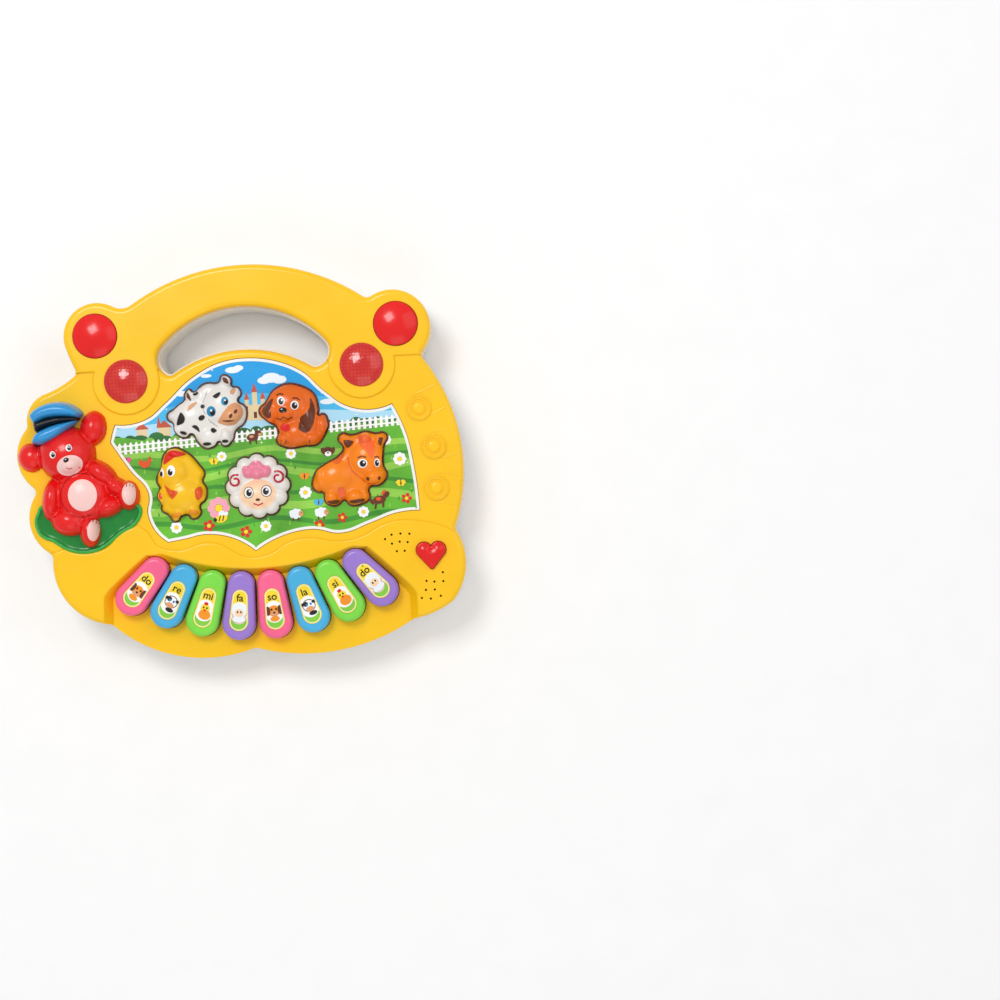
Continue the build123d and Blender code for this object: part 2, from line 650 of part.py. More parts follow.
# ---------------------------------------------------------------- keys
KEY_FLANGE_Z = TERRACE_Z - WALL - 0.2 - FLANGE_THICK
for name, inner, outer in KEYS:
    run = Vector(*outer) - Vector(*inner)
    stem_spot = Vector(*inner) + run * 0.5
    label_inner = Vector(*inner) + run * 0.33
    label_outer = Vector(*inner) + run * 0.95
    tab_shift = run.normalized() * KEY_TAB_REACH
    label_face = stadium(label_inner, label_outer, LABEL_INNER_R, LABEL_OUTER_R)

    with BuildPart() as key:
        with BuildSketch(level(KEY_FLANGE_Z)):
            add(stadium(inner, outer, KEY_INNER_R, KEY_OUTER_R))
        extrude(amount=KEY_TOP_Z - KEY_FLANGE_Z)
        fillet(top_edges(key, KEY_TOP_Z), 2.2)
        with BuildSketch(level(KEY_FLANGE_Z)):
            tab_inner = Vector(*inner) - tab_shift
            tab_outer = Vector(*outer) + tab_shift
            add(stadium(tab_inner, tab_outer, KEY_INNER_R - KEY_TAB_NARROW, KEY_OUTER_R - KEY_TAB_NARROW))
        extrude(amount=FLANGE_THICK)
        with BuildSketch(level(KEY_FLANGE_Z)):
            add(stadium(inner, outer, KEY_INNER_R - KEY_WALL, KEY_OUTER_R - KEY_WALL))
        extrude(amount=KEY_TOP_Z - KEY_FLANGE_Z - 2.2, mode=Mode.SUBTRACT)
        with BuildSketch(level(KEY_FLANGE_Z)):
            with Locations(stem_spot):
                Circle(KEY_STEM_R)
        extrude(amount=KEY_TOP_Z - KEY_FLANGE_Z - 1)
        with BuildSketch(level(KEY_TOP_Z - LABEL_DEPTH)):
            add(label_face)
        extrude(amount=1, mode=Mode.SUBTRACT)
    keep(key, f"key_{name}")

    with BuildPart() as label:
        with BuildSketch(level(KEY_TOP_Z - LABEL_DEPTH)):
            add(grown(label_face, -0.1))
        extrude(amount=LABEL_THICK)
    keep(label, f"label_{name}")

# ---------------------------------------------------------------- round buttons and lamps
def dome_profile(radius, flange_r, flange_z, top_z, shoulder_z):
    """Half of a hollow domed cap, to be turned about its axis."""
    with BuildSketch(Plane.XZ) as profile:
        with BuildLine():
            Line((0, top_z - 1.6), (0, top_z))
            crown = (radius * 0.6, top_z - 0.25 * (top_z - shoulder_z))
            ThreePointArc((0, top_z), crown, (radius, shoulder_z))
            Polyline(
                (radius, shoulder_z),
                (radius, flange_z + FLANGE_THICK),
                (flange_r, flange_z + FLANGE_THICK),
                (flange_r, flange_z),
                (radius - 1.4, flange_z),
                (radius - 1.4, shoulder_z - 1.2),
                (0, top_z - 1.6),
            )
        make_face()
    return profile.sketch


BUTTON_FLANGE_Z = FACE_Z - WALL - 0.2 - FLANGE_THICK
for side, place in MODE_BUTTONS.items():
    with BuildPart() as button:
        add(dome_profile(BUTTON_R, BUTTON_R + FLANGE, BUTTON_FLANGE_Z, BUTTON_TOP_Z, PLATEAU_Z + 0.6))
        revolve(axis=Axis.Z)
        with BuildSketch(level(LAMP_BOARD_Z + BOARD_THICK + MODE_DOME)):
            Circle(KEY_STEM_R)
        extrude(amount=BUTTON_TOP_Z - 1 - LAMP_BOARD_Z - BOARD_THICK - MODE_DOME)
    button.part.position = (*place, 0)
    keep(button, f"mode_button_{side}")

for side, place in LAMPS.items():
    with BuildPart() as lens:
        add(dome_profile(LAMP_R, LAMP_R + FLANGE, BUTTON_FLANGE_Z + 0.1, BUTTON_TOP_Z - 0.2, PLATEAU_Z + 0.6))
        revolve(axis=Axis.Z)
    lens.part.position = (*place, 0)
    keep(lens, f"lamp_lens_{side}")

HEART_FLANGE_Z = FACE_Z - WALL - 0.2 - FLANGE_THICK
with BuildPart() as heart_button:
    with BuildSketch(level(HEART_FLANGE_Z)):
        add(HEART_FACE)
    extrude(amount=HEART_TOP_Z - HEART_FLANGE_Z)
    fillet(top_edges(heart_button, HEART_TOP_Z), 0.8)
    with BuildSketch(level(HEART_FLANGE_Z)):
        add(grown(HEART_FACE, FLANGE))
    extrude(amount=FLANGE_THICK)
    with BuildSketch(level(KEY_BOARD_Z + BOARD_THICK + KEY_DOME)):
        with Locations(HEART):
            Circle(KEY_STEM_R)
    extrude(amount=HEART_FLANGE_Z - KEY_BOARD_Z - BOARD_THICK - KEY_DOME)
keep(heart_button, "heart_button")

# ---------------------------------------------------------------- bear on its leaf
with BuildPart() as bear_body:
    for place, radius, height in BEAR_ROUNDS:
        with Locations((*place, FACE_Z)):
            add(ellipsoid(radius, height))
    with Locations((-72, 0, FACE_Z)):
        Box(100, 100, 40, align=(Align.CENTER, Align.CENTER, Align.MAX), mode=Mode.SUBTRACT)
    with BuildSketch(level(FACE_Z - PEG_LENGTH)):
        with Locations(*BEAR_PEGS):
            Circle(PEG_R)
    extrude(amount=PEG_LENGTH + 1)
keep(bear_body, "bear_body")

with BuildPart() as bear_cap:
    with BuildSketch(level(FACE_Z)):
        add(smooth_face(CAP))
    extrude(amount=BEAR_TOP_Z - 1.5 - FACE_Z)
    add(bear_body.part, mode=Mode.SUBTRACT)
keep(bear_cap, "bear_cap")

with BuildPart() as bear_leaf:
    with BuildSketch(level(FACE_Z)):
        add(smooth_face(LEAF))
        for place, radius, _ in BEAR_ROUNDS:
            with Locations(place):
                Circle(radius + 0.05, mode=Mode.SUBTRACT)
    extrude(amount=LEAF_THICK)
keep(bear_leaf, "bear_leaf")

# ---------------------------------------------------------------- circuit boards
with BuildPart() as key_board:
    with BuildSketch(level(KEY_BOARD_Z)):
        for start, end in KEY_BOARD_STRIPS:
            add(stadium(start, end, BOARD_ARM_R, BOARD_ARM_R))
        with Locations(*KEY_BOARD_SCREWS):
            Circle(BOARD_SCREW_R + 0.2, mode=Mode.SUBTRACT)
    extrude(amount=BOARD_THICK)
keep(key_board, "key_board")

with BuildPart() as panel_board:
    with BuildSketch(level(PANEL_BOARD_Z)):
        with BuildLine():
            Polyline(*PANEL_BOARD_CORNERS, close=True)
        make_face()
        fillet(vertices(), 3)
        with Locations(*PANEL_BOARD_SCREWS):
            Circle(BOARD_SCREW_R + 0.2, mode=Mode.SUBTRACT)
    extrude(amount=BOARD_THICK)
keep(panel_board, "panel_board")

for side in LAMPS:
    middle = (Vector(*MODE_BUTTONS[side]) + Vector(*LAMPS[side])) * 0.5
    with BuildPart() as lamp_board:
        with BuildSketch(level(LAMP_BOARD_Z)):
            add(stadium(MODE_BUTTONS[side], LAMPS[side], 7.5, 8.5))
            for place in LAMP_BOARD_SCREWS[side]:
                add(stadium(place, middle, LAMP_ARM_R, LAMP_ARM_R))
            for place in LAMP_BOARD_SCREWS[side]:
                with Locations(place):
                    Circle(BOARD_SCREW_R + 0.2, mode=Mode.SUBTRACT)
        extrude(amount=BOARD_THICK)
    keep(lamp_board, f"lamp_board_{side}")

with BuildPart() as sound_chip:
    with BuildSketch(level(PANEL_BOARD_Z)):
        with Locations(CHIP):
            Circle(4.2)
    extrude(amount=-CHIP_THICK)
    fillet(top_edges(sound_chip, PANEL_BOARD_Z - CHIP_THICK), 0.6)
keep(sound_chip, "sound_chip")

# ---------------------------------------------------------------- rubber switch domes
def dome(foot_r, top_r, height):
    """A hollow rubber dome that stands on a board."""
    with BuildPart() as shape:
        standing = (Align.CENTER, Align.CENTER, Align.MIN)
        Cone(foot_r, top_r, height, align=standing)
        Cone(foot_r - 1, top_r - 0.8, height - 1, align=standing, mode=Mode.SUBTRACT)
    return shape.part


key_stems = [Vector(*inner) + (Vector(*outer) - Vector(*inner)) * 0.5 for _, inner, outer in KEYS]
with BuildPart() as key_domes:
    with Locations(*[(spot.X, spot.Y, KEY_BOARD_Z + BOARD_THICK) for spot in key_stems]):
        add(dome(4.2, 2.8, KEY_FLANGE_Z - KEY_BOARD_Z - BOARD_THICK))
keep(key_domes, "key_domes")

with BuildPart() as heart_dome:
    with Locations((*HEART, KEY_BOARD_Z + BOARD_THICK)):
        add(dome(4.2, 2.8, KEY_DOME))
keep(heart_dome, "heart_dome")

with BuildPart() as animal_domes:
    with Locations(*[(x, y, PANEL_BOARD_Z + BOARD_THICK) for x, y in ANIMAL_STEMS]):
        add(dome(4.2, 3.0, ANIMAL_FLANGE_Z - PANEL_BOARD_Z - BOARD_THICK))
keep(animal_domes, "animal_domes")

with BuildPart() as mode_domes:
    with Locations(*[(*place, LAMP_BOARD_Z + BOARD_THICK) for place in MODE_BUTTONS.values()]):
        add(dome(4.2, 2.8, MODE_DOME))
keep(mode_domes, "mode_domes")

# ---------------------------------------------------------------- lamps, speaker, switch
with BuildPart() as leds:
    for place in LAMPS.values():
        with BuildSketch(level(LAMP_BOARD_Z + BOARD_THICK)):
            with Locations(*[(place[0] + shift, place[1]) for shift in (-LED_SHIFT, LED_SHIFT)]):
                Circle(LED_R)
        extrude(amount=LED_HEIGHT)
    fillet(top_edges(leds, LAMP_BOARD_Z + BOARD_THICK + LED_HEIGHT), LED_R - 0.1)
keep(leds, "leds")

with BuildPart() as speaker:
    with BuildSketch(level(FOOT + WALL)):
        Circle(SPEAKER_R)
        Circle(SPEAKER_R - 2, mode=Mode.SUBTRACT)
    extrude(amount=3.0)
    with BuildSketch(level(FOOT + WALL + 1)):
        Circle(SPEAKER_R - 1)
    extrude(amount=2.0)
    with BuildSketch(level(FOOT + WALL + 3)):
        Circle(6.5)
    extrude(amount=4.5)
speaker.part.position = (*SPEAKER, 0)
keep(speaker, "speaker")

with BuildPart() as switch_body:
    with BuildSketch(level(FOOT + WALL)):
        with Locations((SWITCH[0] + SWITCH_TRAVEL / 2, SWITCH[1])):
            Rectangle(14, 6.4)
    extrude(amount=6.0)
    with BuildSketch(level(FOOT + WALL)):
        with Locations((SWITCH[0] + SWITCH_TRAVEL / 2, SWITCH[1])):
            Rectangle(KNOB_X + SWITCH_TRAVEL + 0.6, KNOB_Y + 0.6)
    extrude(amount=4.0, mode=Mode.SUBTRACT)
keep(switch_body, "switch_body")

with BuildPart() as switch_knob:
    with BuildSketch(level(0.5)):
        with Locations(SWITCH):
            Rectangle(KNOB_X, KNOB_Y)
    extrude(amount=FOOT + WALL + 3.6 - 0.5)
    chamfer(top_edges(switch_knob, 0.5), 0.4)
keep(switch_knob, "switch_knob")

# ---------------------------------------------------------------- batteries
cell_rows = [BOX_CENTRE[1] + (row - (CELL_COUNT - 1) / 2) * CELL_PITCH for row in range(CELL_COUNT)]
with BuildPart() as cells:
    for row, y in enumerate(cell_rows):
        side = 1 if row % 2 == 0 else -1
        with BuildSketch(Plane((BOX_CENTRE[0], y, CELL_Z), z_dir=(side, 0, 0))):
            Circle(CELL_R)
        extrude(amount=CELL_LENGTH / 2 - 1, both=True)
        cap_x = BOX_CENTRE[0] + side * (CELL_LENGTH / 2 - 1)
        with BuildSketch(Plane((cap_x, y, CELL_Z), z_dir=(side, 0, 0))):
            Circle(2.6)
        extrude(amount=1)
keep(cells, "battery_cells")

with BuildPart() as contacts:
    for row, y in enumerate(cell_rows):
        for side in (-1, 1):
            with BuildSketch(Plane((BOX_CENTRE[0] + side * BOX_X / 2, y, CELL_Z), z_dir=(-side, 0, 0))):
                Rectangle(9, 9)
            extrude(amount=0.4)
keep(contacts, "battery_contacts")

with BuildPart() as springs:
    for row, y in enumerate(cell_rows):
        side = -1 if row % 2 == 0 else 1
        start = BOX_CENTRE[0] + side * (BOX_X / 2 - 0.4)
        reach = BOX_X / 2 - 0.4 - CELL_LENGTH / 2 + 1
        with BuildSketch(Plane((start, y, CELL_Z), z_dir=(-side, 0, 0))):
            Circle(3.6)
            Circle(2.8, mode=Mode.SUBTRACT)
        extrude(amount=reach - 0.05)
keep(springs, "battery_springs")

with BuildPart() as battery_door:
    with BuildSketch(level(FOOT)):
        with Locations((BOX_CENTRE[0] + DOOR_TAB / 2, BOX_CENTRE[1])):
            Rectangle(BOX_X + DOOR_TAB - 0.4, DOOR_TAB_Y - 0.4)
        with Locations(BOX_CENTRE):
            Rectangle(BOX_X - 0.4, BOX_Y - 0.4)
        with Locations(DOOR_SCREW):
            Circle(1.5, mode=Mode.SUBTRACT)
    extrude(amount=DOOR_THICK)
keep(battery_door, "battery_door")

# ---------------------------------------------------------------- screws
def screw(head_r, shank_r, length, head_thick):
    """A pan-head screw: its head's underside is at the origin and its shank points up."""
    with BuildPart() as shape:
        with BuildSketch():
            Circle(head_r)
        extrude(amount=-head_thick)
        fillet(shape.edges().sort_by(Axis.Z)[0], head_thick * 0.4)
        with BuildSketch():
            Circle(shank_r)
        extrude(amount=length)
        with BuildSketch(level(-head_thick)):
            Rectangle(head_r * 1.1, 0.5)
            Rectangle(0.5, head_r * 1.1)
        extrude(amount=head_thick * 0.5, mode=Mode.SUBTRACT)
    return shape.part


with BuildPart() as shell_screws:
    with Locations(*[(x, y, SCREW_SEAT_Z) for x, y in SHELL_SCREWS]):
        add(screw(SCREW_HEAD_R, SCREW_R, SCREW_LENGTH, 1.8))
keep(shell_screws, "shell_screws")

with BuildPart() as board_screws:
    for places, board_z in BOARD_FASTENINGS:
        with Locations(*[(x, y, board_z) for x, y in places]):
            add(screw(BOARD_SCREW_HEAD_R, BOARD_SCREW_R, BOARD_SCREW_LENGTH, 1.4))
keep(board_screws, "board_screws")

with BuildPart() as door_screw:
    with Locations((*DOOR_SCREW, FOOT)):
        add(screw(2.3, 1.1, 4.4, 0.9))
keep(door_screw, "door_screw")
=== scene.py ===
import json
import math
import random

import bpy
import numpy as np
from mathutils import Matrix, Vector
from mathutils.geometry import delaunay_2d_cdt


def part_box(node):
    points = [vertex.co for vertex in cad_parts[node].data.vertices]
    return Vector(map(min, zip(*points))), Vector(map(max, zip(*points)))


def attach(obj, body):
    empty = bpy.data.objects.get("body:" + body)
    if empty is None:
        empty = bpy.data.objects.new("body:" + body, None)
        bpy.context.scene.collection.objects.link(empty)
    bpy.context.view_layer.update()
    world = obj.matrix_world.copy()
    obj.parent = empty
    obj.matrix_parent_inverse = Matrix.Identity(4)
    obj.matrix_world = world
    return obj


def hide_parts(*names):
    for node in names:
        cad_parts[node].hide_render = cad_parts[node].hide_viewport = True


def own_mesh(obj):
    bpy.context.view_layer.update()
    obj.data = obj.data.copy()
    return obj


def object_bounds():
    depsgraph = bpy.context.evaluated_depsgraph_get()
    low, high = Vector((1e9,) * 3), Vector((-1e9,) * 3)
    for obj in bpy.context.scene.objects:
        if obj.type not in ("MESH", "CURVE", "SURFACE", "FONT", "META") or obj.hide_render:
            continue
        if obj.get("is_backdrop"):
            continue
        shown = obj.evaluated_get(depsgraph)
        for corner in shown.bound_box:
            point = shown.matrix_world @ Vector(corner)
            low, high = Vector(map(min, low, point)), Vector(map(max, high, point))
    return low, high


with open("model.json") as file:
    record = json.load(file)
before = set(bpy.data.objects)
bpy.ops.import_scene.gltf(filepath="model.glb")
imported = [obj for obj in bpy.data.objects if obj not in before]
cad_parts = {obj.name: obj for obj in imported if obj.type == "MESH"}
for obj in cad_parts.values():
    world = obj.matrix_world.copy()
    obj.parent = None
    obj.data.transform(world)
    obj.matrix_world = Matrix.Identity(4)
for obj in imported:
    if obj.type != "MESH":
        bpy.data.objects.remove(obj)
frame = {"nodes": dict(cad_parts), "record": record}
nodes = frame["nodes"]
record = frame["record"]
bounds_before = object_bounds()
random.seed(11)
MM = 0.001
WHOLE_TOP = 2e-5  # how far (m) below its top a node's flat top face may lie
GRAIN_SCALE = 900.0  # fine moulding grain, per metre


# ------------------------------------------------------------ outlines
def smooth(points, per=5):
    """A closed smooth outline through the points."""
    p = np.array(points, float)
    n = len(p)
    out = []
    for i in range(n):
        a, b, c, d = p[i - 1], p[i], p[(i + 1) % n], p[(i + 2) % n]
        for k in range(per):
            t = k / per
            out.append(0.5 * (2 * b + (c - a) * t + (2 * a - 5 * b + 4 * c - d) * t * t
                              + (3 * b - 3 * c + d - a) * t ** 3))
    return [tuple(q) for q in out]


def oval(cx, cy, rx, ry=None, tilt=0.0, count=28):
    """An ellipse, turned by tilt degrees."""
    ry = rx if ry is None else ry
    c, s = math.cos(math.radians(tilt)), math.sin(math.radians(tilt))
    out = []
    for k in range(count):
        a = 2 * math.pi * k / count
        u, v = rx * math.cos(a), ry * math.sin(a)
        out.append((cx + u * c - v * s, cy + u * s + v * c))
    return out


def band(points, width):
    """A strip of even width along a line of points."""
    p = np.array(points, float)
    t = np.gradient(p, axis=0)
    t /= np.linalg.norm(t, axis=1)[:, None]
    n = np.stack([-t[:, 1], t[:, 0]], 1) * width / 2
    return [tuple(q) for q in np.vstack([p + n, (p - n)[::-1]])]


def curl(cx, cy, start, turn):
    """A line that winds inwards from start degrees."""
    out = []
    for t in range(0, 130, 5):
        a, r = math.radians(start + turn * t), 3.0 - 0.016 * t
        out.append((cx + r * math.cos(a), cy + r * math.sin(a)))
    return out


def apart(a, b):
    """Whether the boxes round two outlines have no point in common."""
    a, b = np.array(a), np.array(b)
    return bool((a.min(axis=0) > b.max(axis=0)).any() or (a.max(axis=0) < b.min(axis=0)).any())


def inside(xy, loop):
    """Which points lie inside the outline."""
    x, y = xy[:, 0], xy[:, 1]
    hit = np.zeros(len(xy), bool)
    p = np.array(loop)
    q = np.roll(p, -1, axis=0)
    for (x0, y0), (x1, y1) in zip(p, q):
        if y0 == y1:
            continue
        cross = (y0 > y) != (y1 > y)
        hit ^= cross & (x < (x1 - x0) * (y - y0) / (y1 - y0) + x0)
    return hit


def edge_distance(xy, loop):
    """Each point's distance (mm) to the outline."""
    p = np.array(loop)
    q = np.roll(p, -1, axis=0)
    best = np.full(len(xy), 1e9)
    for a, b in zip(p, q):
        ab = b - a
        t = np.clip(((xy - a) @ ab) / max(ab @ ab, 1e-12), 0, 1)
        best = np.minimum(best, np.linalg.norm(xy - a - t[:, None] * ab, axis=1))
    return best


def moved_in(loop, amount):
    """The outline moved in (mm) along its corners' normals."""
    p = np.array(loop)
    area = np.sum(p[:, 0] * np.roll(p[:, 1], -1) - np.roll(p[:, 0], -1) * p[:, 1])
    t = np.roll(p, -1, axis=0) - np.roll(p, 1, axis=0)
    t /= np.maximum(np.linalg.norm(t, axis=1)[:, None], 1e-9)
    n = np.stack([-t[:, 1], t[:, 0]], 1) * (1 if area > 0 else -1)
    return [tuple(q) for q in p + n * amount]


def top_loops(node):
    """The outlines (mm) of a CAD node's flat top, the largest first."""
    mesh = nodes[node].data
    top = max(v.co.z for v in mesh.vertices) - WHOLE_TOP
    seen = {}
    for face in mesh.polygons:
        ring = [mesh.vertices[i].co for i in face.vertices]
        if min(v.z for v in ring) < top:
            continue
        keys = [(round(v.x * 1e5), round(v.y * 1e5)) for v in ring]
        for a, b in zip(keys, keys[1:] + keys[:1]):
            if (b, a) in seen:
                del seen[(b, a)]
            else:
                seen[(a, b)] = True
    follow = {a: b for a, b in seen}
    loops = []
    while follow:
        start, nxt = follow.popitem()
        loop = [start]
        while nxt != start and nxt in follow:
            loop.append(nxt)
            nxt = follow.pop(nxt)
        if len(loop) > 3:
            loops.append([(x / 100, y / 100) for x, y in loop])
    loops.sort(key=lambda l: -abs(sum(a[0] * b[1] - b[0] * a[1] for a, b in zip(l, l[1:] + l[:1]))))
    return loops


def top_of(node):
    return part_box(node)[1].z / MM


# ------------------------------------------------------------ meshes
def linked(name, data):
    """A new object of the scene."""
    made = bpy.data.objects.new(name, data)
    bpy.context.scene.collection.objects.link(made)
    return made


class Shape:
    """Collects triangles (mm) that become one mesh."""

    def __init__(self):
        self.verts, self.faces, self.flat = [], [], []

    def fill(self, polys, height, within=(), without=(), step=0.0, skirt=None):
        """Adds the surface z = height(xy) inside the outlines, with inner points a step apart."""
        loops = [list(p) for p in (*polys, *within, *without)]
        flat, edges = [], []
        for loop in loops:
            base = len(flat)
            flat += loop
            edges += [(base + i, base + (i + 1) % len(loop)) for i in range(len(loop))]
        if step:
            edge = np.array([q for p in polys for q in p])
            xs = np.arange(edge[:, 0].min(), edge[:, 0].max(), step)
            ys = np.arange(edge[:, 1].min(), edge[:, 1].max(), step)
            grid = np.array([(x + (step / 2 if j % 2 else 0), y) for j, y in enumerate(ys) for x in xs])
            keep = np.zeros(len(grid), bool)
            for p in polys:
                keep |= inside(grid, p)
            grid = grid[keep]
            far = np.ones(len(grid), bool)
            for p in polys:
                far &= edge_distance(grid, p) > step * 0.4
            flat += [tuple(q) for q in grid[far]]
        got = delaunay_2d_cdt([Vector(p) for p in flat], edges, [], 0, 1e-5)
        xy = np.array([tuple(v) for v in got[0]])
        tris = np.array([f for f in got[2] if len(f) == 3])
        mid = xy[tris].mean(axis=1)
        ok = np.zeros(len(mid), bool)
        for p in polys:
            ok |= inside(mid, p)
        for p in within:
            ok &= inside(mid, p)
        for p in without:
            ok &= ~inside(mid, p)
        tris = tris[ok]
        if not len(tris):
            return
        a, b, c = xy[tris[:, 0]], xy[tris[:, 1]], xy[tris[:, 2]]
        area = (b[:, 0] - a[:, 0]) * (c[:, 1] - a[:, 1]) - (b[:, 1] - a[:, 1]) * (c[:, 0] - a[:, 0])
        tris[area < 0] = tris[area < 0][:, ::-1]
        tris = tris[np.abs(area) > 1e-9]
        used = np.unique(tris)
        index = {int(u): len(self.verts) + i for i, u in enumerate(used)}
        z = height(xy[used]) if callable(height) else np.full(len(used), float(height))
        self.verts += [(x * MM, y * MM, h * MM) for (x, y), h in zip(xy[used], z)]
        self.faces += [tuple(index[int(i)] for i in t) for t in tris]
        self.flat += [False] * len(tris)
        if skirt is not None:
            sides = {}
            for t in tris:
                for i in range(3):
                    sides[(int(t[i]), int(t[(i + 1) % 3]))] = True
            for i, j in sides:
                if (j, i) in sides:
                    continue
                v0, v1 = self.verts[index[i]], self.verts[index[j]]
                base = len(self.verts)
                self.verts += [v0, v1, (v1[0], v1[1], skirt * MM), (v0[0], v0[1], skirt * MM)]
                self.faces.append((base + 1, base, base + 3, base + 2))
                self.flat.append(True)

    def build(self, name, mat, slot, body, replaces=()):
        """Makes the piece, which rides on a CAD body and may stand for CAD nodes."""
        mesh = bpy.data.meshes.new(name)
        mesh.from_pydata(self.verts, [], self.faces)
        mesh.validate()
        if len(mesh.polygons) == len(self.flat):
            mesh.polygons.foreach_set("use_smooth", [not f for f in self.flat])
        mesh.materials.append(mat)
        piece = linked(name, mesh)
        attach(piece, body)
        if replaces:
            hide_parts(*replaces)
        return piece


def relief(base, bumps, edge=None, rise=2.6, soft=1.0, blend=0.35):
    """Height in mm: a puffed plate inside an outline, with rounded masses standing on it."""

    def height(xy):
        layers = []
        if edge is not None:
            d = edge_distance(xy, edge)
            layers.append(base + rise * (1 - np.exp(-d / soft)))
        for cx, cy, rx, ry, tilt, top in bumps:
            c, s = math.cos(math.radians(tilt)), math.sin(math.radians(tilt))
            dx, dy = xy[:, 0] - cx, xy[:, 1] - cy
            r = ((dx * c + dy * s) / rx) ** 2 + ((dy * c - dx * s) / ry) ** 2
            up = np.sqrt(np.clip(1 - r, 0, 1)) - np.clip(r - 1, 0, 9) * 0.8
            layers.append(base + (top - base) * up)
        z = np.array(layers)
        high = z.max(axis=0)
        return high + blend * np.log(np.exp((z - high) / blend).sum(axis=0)) - blend * 0.3

    return height


# ------------------------------------------------------------ finishes
def put(node, values):
    """Sets inputs of a material's node."""
    for name, value in values.items():
        node.inputs[name].default_value = value


def linear(r, g, b):
    """A screen colour (0 to 255) as the linear values that Blender takes."""
    return tuple(((c / 255 + 0.055) / 1.055) ** 2.4 if c > 10 else c / 255 / 12.92 for c in (r, g, b))


def finish(name, rgb, rough=0.3, vary=0.07, grain=0.02, coat=0.14, metal=0.0, clear=0.0):
    """A moulded or printed finish: colour that drifts a little, rubbed patches and a fine grain."""
    mat = bpy.data.materials.new(name)
    mat.use_nodes = True
    tree = mat.node_tree
    tree.nodes.clear()
    new = tree.nodes.new
    link = tree.links.new
    out = new("ShaderNodeOutputMaterial")
    shader = new("ShaderNodeBsdfPrincipled")
    where = new("ShaderNodeTexCoord")
    cloud = new("ShaderNodeTexNoise")
    put(cloud, {"Scale": 55.0, "Detail": 4.0})
    tint = new("ShaderNodeValToRGB")
    base = linear(*rgb)
    tint.color_ramp.elements[0].position = 0.3
    tint.color_ramp.elements[1].position = 0.7
    tint.color_ramp.elements[0].color = (*[min(1.0, c * (1 - vary)) for c in base], 1)
    tint.color_ramp.elements[1].color = (*[min(1.0, c * (1 + vary * 0.5) + 0.002) for c in base], 1)
    link(where.outputs["Object"], cloud.inputs["Vector"])
    link(cloud.outputs["Fac"], tint.inputs["Fac"])
    link(tint.outputs["Color"], shader.inputs["Base Color"])
    stretch = new("ShaderNodeMapping")
    put(stretch, {"Rotation": (0.0, 0.0, 0.6), "Scale": (60.0, 190.0, 90.0)})
    rub = new("ShaderNodeTexNoise")
    put(rub, {"Scale": 1.0, "Detail": 6.0})
    wear = new("ShaderNodeMapRange")
    put(wear, {"From Min": 0.45, "From Max": 0.75, "To Min": rough, "To Max": min(1.0, rough + 0.08)})
    link(where.outputs["Object"], stretch.inputs["Vector"])
    link(stretch.outputs["Vector"], rub.inputs["Vector"])
    link(rub.outputs["Fac"], wear.inputs["Value"])
    link(wear.outputs["Result"], shader.inputs["Roughness"])
    grit = new("ShaderNodeTexNoise")
    put(grit, {"Scale": GRAIN_SCALE, "Detail": 3.0})
    bump = new("ShaderNodeBump")
    put(bump, {"Strength": min(1.0, grain * 5), "Distance": 0.0001})
    link(where.outputs["Object"], grit.inputs["Vector"])
    link(grit.outputs["Fac"], bump.inputs["Height"])
    link(bump.outputs["Normal"], shader.inputs["Normal"])
    put(shader, {
        "Specular IOR Level": 0.36, "Metallic": metal, "Coat Weight": coat, "Coat Roughness": 0.08,
        "Transmission Weight": clear
    })
    link(shader.outputs["BSDF"], out.inputs["Surface"])
    return mat


FINISHES = {
    "yellow_shell": finish("yellow_abs", (255, 199, 14), rough=0.24, vary=0.04),
    "white_shell": finish("white_abs", (240, 236, 228), rough=0.35, coat=0.1),
    "printed_scene": finish("panel_white", (246, 247, 244), rough=0.2, coat=0.4),
    "animal_white": finish("white_paint", (234, 230, 224), rough=0.22),
    "animal_orange": finish("orange_paint", (250, 134, 6), rough=0.22, vary=0.08),
    "animal_yellow": finish("chick_paint", (250, 194, 10), rough=0.22, vary=0.1),
    "key_pink": finish("pink_plastic", (250, 102, 146), rough=0.25),
    "key_blue": finish("blue_plastic", (72, 178, 226), rough=0.25),
    "key_green": finish("green_plastic", (128, 222, 72), rough=0.25),
    "key_purple": finish("purple_plastic", (158, 124, 210), rough=0.25),
    "key_label": finish("label_yellow", (252, 226, 72), coat=0.3),
    "red_plastic": finish("red_abs", (232, 18, 16), rough=0.2, coat=0.2),
    "lamp_lens": finish("lens_red", (238, 30, 26), rough=0.12, coat=0.5, clear=0.25),
    "cap_blue": finish("cap_paint", (46, 150, 214), rough=0.22),
    "leaf_green": finish("leaf_paint", (10, 132, 44), rough=0.25, vary=0.15),
    "circuit_board": finish("solder_mask", (16, 94, 52), rough=0.4, coat=0.2),
    "black_resin": finish("resin", (22, 22, 24), rough=0.45, grain=0.08),
    "dome_rubber": finish("silicone", (222, 221, 214), rough=0.6, coat=0.0),
    "led_body": finish("led_epoxy", (236, 120, 108), rough=0.12, clear=0.4),
    "speaker_black": finish("speaker_cone", (34, 34, 36), rough=0.6, coat=0.0, grain=0.1),
    "switch_black": finish("switch_plastic", (30, 30, 32), rough=0.45, coat=0.0),
    "cell_jacket": finish("cell_print", (42, 112, 84), metal=0.4),
    "contact_metal": finish("nickel", (205, 204, 200), metal=1.0, coat=0.0),
    "screw_steel": finish("zinc", (180, 181, 183), rough=0.35, metal=1.0, coat=0.0),
}
slots = {part["node"]: part["material_slot"] for part in record["subparts"]}
for node, thing in nodes.items():
    thing.data.materials.clear()
    thing.data.materials.append(FINISHES[slots[node]])

